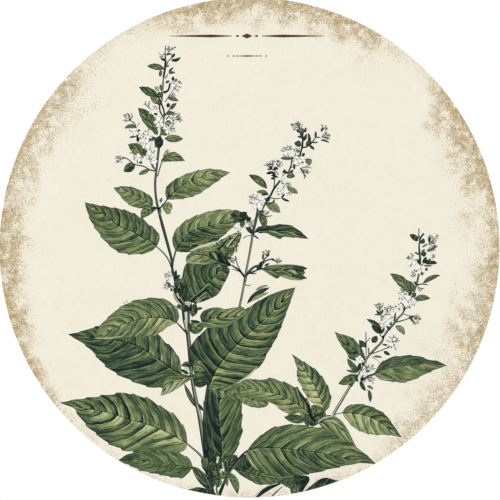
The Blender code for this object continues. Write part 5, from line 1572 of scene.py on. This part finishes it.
# fans of fine threads: place, reach, count, first angle, last angle in degrees, tone
sprays = {
    "left_spike": [
        ((-71.6, 76.6), 4.6, 6, 70, 190, 0.3),
        ((-61, 84.6), 3.6, 5, 60, 160, 0.5),
        ((-46.4, 76), 6.4, 9, -10, 80, 0.36),
        ((-45.6, 96), 4.2, 6, -50, 60, 0.5),
        ((-48.6, 117), 4.0, 7, 20, 130, 0.36),
        ((-52.2, 114.4), 2.2, 5, 90, 230, 0.3),
        ((-54.6, 94), 3.6, 5, 100, 170, 0.44),
        ((-77, 53), 3.4, 6, 90, 230, 0.3),
        ((-68, 55.4), 4.4, 6, 80, 170, 0.6),
        ((-52, 54.6), 5.0, 4, 35, 70, 0.44),
        ((-47.6, 70), 3.2, 5, -10, 90, 0.5),
        ((-46.6, 90.4), 2.8, 5, -20, 90, 0.4),
        ((-60, 53), 3.0, 5, 60, 150, 0.56),
        ((-50.6, 110), 2.0, 4, -30, 70, 0.2),
        ((-47.4, 83), 2.6, 4, 20, 90, 0.3),
    ],
    "middle_spike": [
        ((30.4, 70.6), 5.4, 10, 70, 165, 0.4),
        ((43.4, 66.4), 4.8, 7, -30, 50, 0.34),
        ((44, 70.8), 3.0, 5, 0, 120, 0.3),
        ((30.4, 47.6), 6.4, 8, -75, 20, 0.24),
        ((13, 47.6), 4.6, 9, 60, 160, 0.36),
        ((17, 48.4), 4.2, 6, 30, 110, 0.5),
        ((23, 35.6), 3.6, 6, 30, 130, 0.5),
        ((10, -4.8), 3.4, 7, 20, 150, 0.34),
        ((16.4, -9), 3.0, 6, 0, 110, 0.44),
        ((1.8, 12.6), 4.4, 6, 70, 150, 0.5),
        ((5.6, 20.8), 8.0, 5, -22, 14, 0.3),
        ((3.2, 28.6), 3.6, 5, 60, 190, 0.36),
        ((22.6, 58.4), 3.4, 6, 50, 190, 0.36),
        ((28.8, 57), 3.0, 5, 30, 120, 0.4),
        ((-2.6, 14), 3.0, 5, 100, 220, 0.5),
        ((-8.8, 0.8), 2.6, 5, -120, 40, 0.24),
        ((-9, -8), 3.0, 5, 60, 170, 0.24),
    ],
    "right_spike": [
        ((78, -37.6), 4.6, 7, 50, 140, 0.4),
        ((83.2, -39), 4.4, 7, 40, 130, 0.44),
        ((97, -41.6), 5.4, 7, -75, 25, 0.26),
        ((107.6, 1.8), 5.6, 8, 30, 85, 0.3),
        ((106.4, -2), 6.6, 6, 5, 40, 0.4),
        ((85.4, -56), 3.8, 7, -80, 90, 0.24),
        ((70.4, -75), 5.4, 7, 20, 110, 0.3),
        ((70.6, -78), 4.4, 6, -60, 20, 0.4),
        ((66.4, -78.4), 4.6, 6, -70, 40, 0.12),
        ((98, -6.4), 3.4, 5, 90, 200, 0.44),
        ((101, -23.4), 3.4, 4, -80, -10, 0.34),
        ((99.4, -17), 3.0, 4, 100, 200, 0.4),
        ((92.6, -27), 3.0, 5, 80, 170, 0.4),
        ((110.2, -6.4), 2.6, 4, 40, 120, 0.3),
    ],
    "node": [
        ((-47.6, -23), 4.2, 6, 120, 220, 0.3),
        ((-47.8, -17), 3.0, 5, 100, 200, 0.4),
    ],
}
flowerFinish = {
    "layer": 9,
    "petals": 5,
    "petalReach": (0.8, 1.15),  # as shares of the flower's radius
    "petalWidth": 0.42,  # half width, as a share of the petal's length
    "petalShade": (0.1, 0.6),
    "large": 1.7,  # radius from which a flower has two sepals
    "sepalTone": (0.16, 0.4),
    "stamens": 3,
    "stamenReach": (1.0, 1.5),
    "threadLayer": 9.6,
    "threadWidths": [0.26, 0.22, 0.42],  # each thread ends in a small knob
    "threadSepia": 0.3,
}


def around(x, z, reach, angle):
    return (x + reach * math.cos(angle), z + reach * math.sin(angle))


def addSpray(film, place, reach, count, first, last, tone):
    x, z = place
    chance = random.Random(int(x * 11 + z * 17))
    for i in range(count):
        a = math.radians(first + (last - first) * (i + chance.uniform(0.2, 0.8)) / count)
        r = reach * chance.uniform(0.65, 1.1)
        bend = chance.uniform(-0.22, 0.22) * reach
        kneeX, kneeZ = around(x, z, 0.55 * r, a)
        knee = (kneeX - bend * math.sin(a), kneeZ + bend * math.cos(a))
        points = [(x, z), knee, around(x, z, r, a)]
        shade = tone + chance.uniform(-0.1, 0.2)
        widths, sepia = flowerFinish["threadWidths"], flowerFinish["threadSepia"]
        addStroke(film, points, widths, flowerFinish["threadLayer"], 0.0, shade, sepia)


def addFlower(petals, lines, flower):
    x, z = flower["at"]
    size, turn = flower["size"], flower.get("turn", 0.0)
    chance = random.Random(int(x * 7 + z * 13))
    layer = flowerFinish["layer"]
    count = flower.get("petals", flowerFinish["petals"])
    for i in range(count):
        a = turn + 2 * math.pi * i / count + chance.uniform(-0.2, 0.2)
        r = size * chance.uniform(*flowerFinish["petalReach"])
        shade = chance.uniform(*flowerFinish["petalShade"])
        ends = around(x, z, 0.1 * r, a), around(x, z, r, a)
        addPetal(petals, *ends, r * flowerFinish["petalWidth"], layer + 0.1 * i, shade)
    if flower.get("centre", False):
        ends = (x, z - 0.22 * size), (x, z + 0.26 * size)
        addPetal(petals, *ends, 0.17 * size, layer + 0.8, warm=1.0, rows=5)
    for i in range(2 if size > flowerFinish["large"] else 1):
        a = turn + 1.1 + 2.6 * i + chance.uniform(-0.7, 0.7)
        points = [around(x, z, 0.45 * size, a), around(x, z, 1.12 * size, a + 0.2)]
        tone = chance.uniform(*flowerFinish["sepalTone"])
        addStroke(lines, points, [0.5, 1.1, 0.2], layer - 0.4, 0.15, tone)
    for i in range(flower.get("stamens", flowerFinish["stamens"])):
        a = turn + 0.5 + 2.1 * i + chance.uniform(-0.4, 0.4)
        r = size * chance.uniform(*flowerFinish["stamenReach"])
        bend = chance.uniform(-0.25, 0.25) * size
        inner, outer = around(x, z, 0.3 * size, a), around(x, z, r, a)
        knee = (
            (inner[0] + outer[0]) / 2 - bend * math.sin(a),
            (inner[1] + outer[1]) / 2 + bend * math.cos(a),
        )
        addStroke(lines, [inner, knee, outer], [0.22, 0.3, 0.5], layer + 0.9, 0.0, 0.38, sepia=0.4)


def addFlowerHalo(flower):
    x, z = flower["at"]
    reach = flower["size"] * 0.8
    heights = (-reach, -reach * 0.6, reach * 0.6, reach)
    sides = [
        through([(x + side * out, z + up) for out, up in zip((0.1, reach, reach, 0.1), heights)])
        for side in (-1, 1)
    ]
    addHalo(*sides, grow=0.6, rows=8)


for place, spots in flowers.items():
    petals = Film("petals_" + place, "petal")
    lines = Film("stamens_" + place, "line")
    for flower in spots:
        addFlower(petals, lines, flower)
        if flower["size"] > 1:
            addFlowerHalo(flower)
    for spray in sprays[place]:
        addSpray(lines, *spray)
    petals.close()
    lines.close()
halo.close()
print("flowers printed")

# a plain ruled ornament above the drawing: two tapered rules, a lozenge and dots, with a short rule below
ornament = {
    "middle": (-1.5, 127.0),
    "rule": (9.0, 46.5, 1.7),  # from and to, each way from the middle, and how thick
    "dash": (4.6, 6.8, 1.3),
    "lozenge": (3.2, 3.0),  # half length and thickness
    "lowHeight": 115.0,
    "lowRule": (6.0, 0.9),
    "lowDots": (11.5, 8.1, 6.2),
}
film = Film("ornament", "brown")
x, z = ornament["middle"]
low = ornament["lowHeight"]
for side in (-1, 1):
    start, stop, thick = ornament["rule"]
    near, far = x + start * side, x + stop * side
    points = [(near, z), ((near * 2 + far) / 3, z), ((near + far * 2) / 3, z), (far, z)]
    addStroke(film, points, [0.4, thick, thick * 0.6, 0.2], 1, rows=30)
    start, stop, thick = ornament["dash"]
    addStroke(film, [(x + start * side, z), (x + stop * side, z)], [0.3, thick, 0.3], 1, rows=8)
    for reach in ornament["lowDots"]:
        dot = x + side * reach
        addStroke(film, [(dot - 0.5, low), (dot + 0.5, low)], [0.5, 0.9, 0.5], 1, rows=4)
reach, thick = ornament["lozenge"]
addStroke(film, [(x - reach, z), (x, z), (x + reach, z)], [0.2, thick, 0.2], 1, rows=12)
reach, thick = ornament["lowRule"]
addStroke(film, [(x - reach, low), (x + reach, low)], [0.2, thick, 0.2], 1, rows=12)
film.close()
print("ornament printed")


# The aged paper of the front. The rim's curves go round the disc: left, bottom, right, top, left.
paperSettings = {
    "rimDepth": 45.0,  # millimetres that the worn rim comes in where the curve is at 1
    "depthCurve": [
        (0.0, 0.68), (0.042, 0.53), (0.083, 0.34), (0.12, 0.24), (0.17, 0.22), (0.25, 0.3), (0.3, 0.42),
        (0.33, 0.4), (0.35, 0.46), (0.375, 0.77), (0.417, 0.92), (0.458, 0.85), (0.5, 0.73), (0.542, 0.8),
        (0.57, 0.92), (0.6, 0.7), (0.629, 0.3), (0.645, 0.5), (0.667, 0.7), (0.71, 0.62), (0.75, 0.67),
        (0.79, 0.62), (0.815, 0.42), (0.835, 0.38), (0.86, 0.6), (0.9, 0.9), (0.93, 0.76), (0.96, 0.66),
        (1.0, 0.68),
    ],
    "strengthCurve": [
        (0.0, 1.0), (0.08, 0.9), (0.11, 0.7), (0.14, 0.4), (0.2, 0.4), (0.26, 0.5), (0.33, 0.48),
        (0.36, 0.64), (0.39, 0.66), (0.42, 0.68), (0.45, 0.85), (0.5, 0.85), (0.58, 0.9), (0.61, 0.8),
        (0.63, 0.4), (0.655, 0.5), (0.68, 0.95), (0.79, 0.95), (0.82, 0.5), (0.86, 0.42), (0.885, 0.8),
        (0.94, 0.85), (1.0, 1.0),
    ],
    "cream": [(0.30, linear(238, 231, 211)), (0.5, linear(242, 236, 219)), (0.7, linear(246, 240, 226))],
    "weaves": ((900.0, 130.0, 0.4), (160.0, 800.0, 0.25)),  # scale to the right and up, and its share
    "mottle": (45.0, 0.35),  # scale and share
    "stains": ((300.0, 2.0, 0.4), (1150.0, 1.0, 0.6)),  # scale, detail and share
    "tan": [(0.36, linear(150, 124, 84)), (0.5, linear(194, 173, 134)), (0.62, linear(224, 211, 180))],
}


def agedPaper():
    g = Graph("printed_face")
    x, _, z = g.split(g.place())
    dx = g.math("SUBTRACT", x, discCentre[0])
    dz = g.math("SUBTRACT", z, discCentre[1])
    reach = g.math("POWER", g.math("ADD", g.times(dx, dx), g.times(dz, dz)), 0.5)
    inward = g.times(g.math("SUBTRACT", discRadius, reach), 1000.0)  # millimetres from the edge
    turn = g.math("DIVIDE", g.math("ADD", g.math("ARCTAN2", dz, dx), math.pi), 2 * math.pi)
    depth = g.times(g.curve(turn, paperSettings["depthCurve"]), paperSettings["rimDepth"])
    strength = g.curve(turn, paperSettings["strengthCurve"])

    # the worn rim: a ragged cover that breaks up into specks
    flat = g.join(dx, 0.0, dz)
    worn = g.math("DIVIDE", inward, depth)
    clouds = g.noise(flat, 60.0, 3.0, 0.6)
    worn = g.sway(worn, clouds, 1.3)
    holes = g.scaled(g.noise(flat, 140.0, 3.0, 0.7), 0.46, 0.68, 1.0, 0.35)
    cover = g.times(g.scaled(worn, 0.0, 0.95, 1.0, 0.0), holes)
    cover = g.math("ADD", cover, g.scaled(inward, 1.0, 8.0, 0.12, 0.0))
    cover = g.times(cover, strength)
    grain = g.noise(flat, 1000.0, 2.0, 0.8)
    speck = g.scaled(g.sway(grain, cover, 0.36), 0.42, 0.62)
    speck = g.times(speck, g.blend(cover, 0.6, 1.0))

    # the paper itself: cream with soft clouds and a faint weave
    threads = [
        g.times(g.noise(g.join(g.times(dx, along), 0.0, g.times(dz, up)), 1.0, 2.0), share)
        for along, up, share in paperSettings["weaves"]
    ]
    size, share = paperSettings["mottle"]
    mottle = g.times(g.noise(flat, size, 3.0, 0.6), share)
    cream = g.ramp(g.math("ADD", g.math("ADD", *threads), mottle), paperSettings["cream"])
    stains = [
        g.times(g.noise(flat, size, detail), share) for size, detail, share in paperSettings["stains"]
    ]
    tan = g.ramp(g.math("ADD", *stains), paperSettings["tan"])
    return g.finish(g.mix(speck, cream, tan), 0.75, 0.25)


def metal(name, tint, roughness, along, across, bump):
    # rolled or plated sheet, with fine streaks
    g = Graph(name)
    spot = g.place()
    x, y, z = g.split(spot)
    streak = g.noise(g.join(g.times(x, along), y, g.times(z, across)), 1.0, 4.0, 0.6)
    patch = g.noise(spot, 30.0, 3.0)
    shadow = tuple(c * 0.82 for c in tint[:3]) + (1.0,)
    unevenness = 0.18
    rough = g.math("MULTIPLY_ADD", g.math("ADD", streak, patch), unevenness, roughness - unevenness)
    g.shader.inputs["Metallic"].default_value = 1.0
    g.relief(streak, 0.25, bump)
    return g.finish(g.mix(streak, shadow, tint), rough, 0.5)


def soft(name, dark, pale, size, roughness):
    # plastic, foam or rubber, with a fine grain
    g = Graph(name)
    grain = g.noise(g.place(), size, 3.0, 0.6)
    g.relief(grain, 0.3, 0.2 * mm)
    return g.finish(g.mix(grain, dark, pale), roughness, 0.4)


rubber = soft("bumper_rubber", linear(58, 60, 63), linear(80, 82, 85), size=1500.0, roughness=0.8)
surfaces = {
    "front_sheet": agedPaper(),
    "back_sheet": metal(
        "bare_aluminium", linear(214, 216, 218), roughness=0.42, along=18.0, across=1400.0, bump=0.05 * mm
    ),
    "core": soft("core_plastic", linear(22, 22, 24), linear(40, 40, 42), size=1800.0, roughness=0.7),
    "hanger_plate": metal(
        "zinc_steel", linear(206, 208, 212), roughness=0.34, along=300.0, across=300.0, bump=0.08 * mm
    ),
    "hanger_tape": soft(
        "foam_tape", linear(226, 226, 222), linear(246, 246, 243), size=1200.0, roughness=0.85
    ),
    "bumper_left": rubber,
    "bumper_right": rubber,
}
for name, material in surfaces.items():
    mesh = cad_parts[name].data
    mesh.materials.clear()
    mesh.materials.append(material)
print("sheet, core and back finished")

view = {
    "lens": 100.0,
    "distance": 0.8333,  # metres from the picture
    "aim": (0.0003, -0.0014),  # right of and above the middle of the disc
}
camera = bpy.data.objects.new("camera", bpy.data.cameras.new("camera"))
camera.data.lens = view["lens"]
camera.location = (discCentre[0] + view["aim"][0], faceY - view["distance"], discCentre[1] + view["aim"][1])
camera.rotation_euler = (math.pi / 2, 0, 0)
bpy.context.scene.collection.objects.link(camera)
bpy.context.scene.camera = camera

studio = {
    "sky": 0.888,  # light that falls on things from all round
    "backdrop": 1.0,  # white that is seen behind them
    "key": {"place": (-1.6, -2.6, 1.9), "size": 2.4, "power": 24.4},
    "fill": {"place": (1.9, 1.8, 1.2), "size": 2.0, "power": 15.5},
    "floorBelow": 2.5,  # metres from the middle of the disc down to the floor
}
world = bpy.data.worlds.new("studio")
bpy.context.scene.world = world
world.use_nodes = True
tree = world.node_tree
back = tree.nodes["Background"]
back.inputs["Color"].default_value = (1, 1, 1, 1)
seen = tree.nodes.new("ShaderNodeLightPath")
level = tree.nodes.new("ShaderNodeMix")
level.data_type = "FLOAT"
level.inputs[2].default_value = studio["sky"]
level.inputs[3].default_value = studio["backdrop"]
tree.links.new(seen.outputs["Is Camera Ray"], level.inputs[0])
tree.links.new(level.outputs[0], back.inputs["Strength"])

for name in ("key", "fill"):
    settings = studio[name]
    lamp = bpy.data.objects.new(name, bpy.data.lights.new(name, "AREA"))
    lamp.data.shape = "SQUARE"
    lamp.data.size = settings["size"]
    lamp.data.energy = settings["power"]
    lamp.location = settings["place"]
    toDisc = Vector((discCentre[0], faceY, discCentre[1])) - lamp.location
    lamp.rotation_euler = toDisc.to_track_quat("-Z", "Y").to_euler()
    bpy.context.scene.collection.objects.link(lamp)

bm = bmesh.new()
bmesh.ops.create_grid(bm, x_segments=1, y_segments=1, size=10.0)
mesh = bpy.data.meshes.new("floor")
bm.to_mesh(mesh)
bm.free()
floor = bpy.data.objects.new("floor", mesh)
floor.location = (0, 0, discCentre[1] - studio["floorBelow"])
bpy.context.scene.collection.objects.link(floor)
mesh.materials.append(Graph("pale_floor").finish(linear(248, 248, 246), 0.8, 0.2))

bpy.context.scene.view_settings.view_transform = "Standard"
bpy.context.scene.view_settings.look = "None"

print("stage ready")
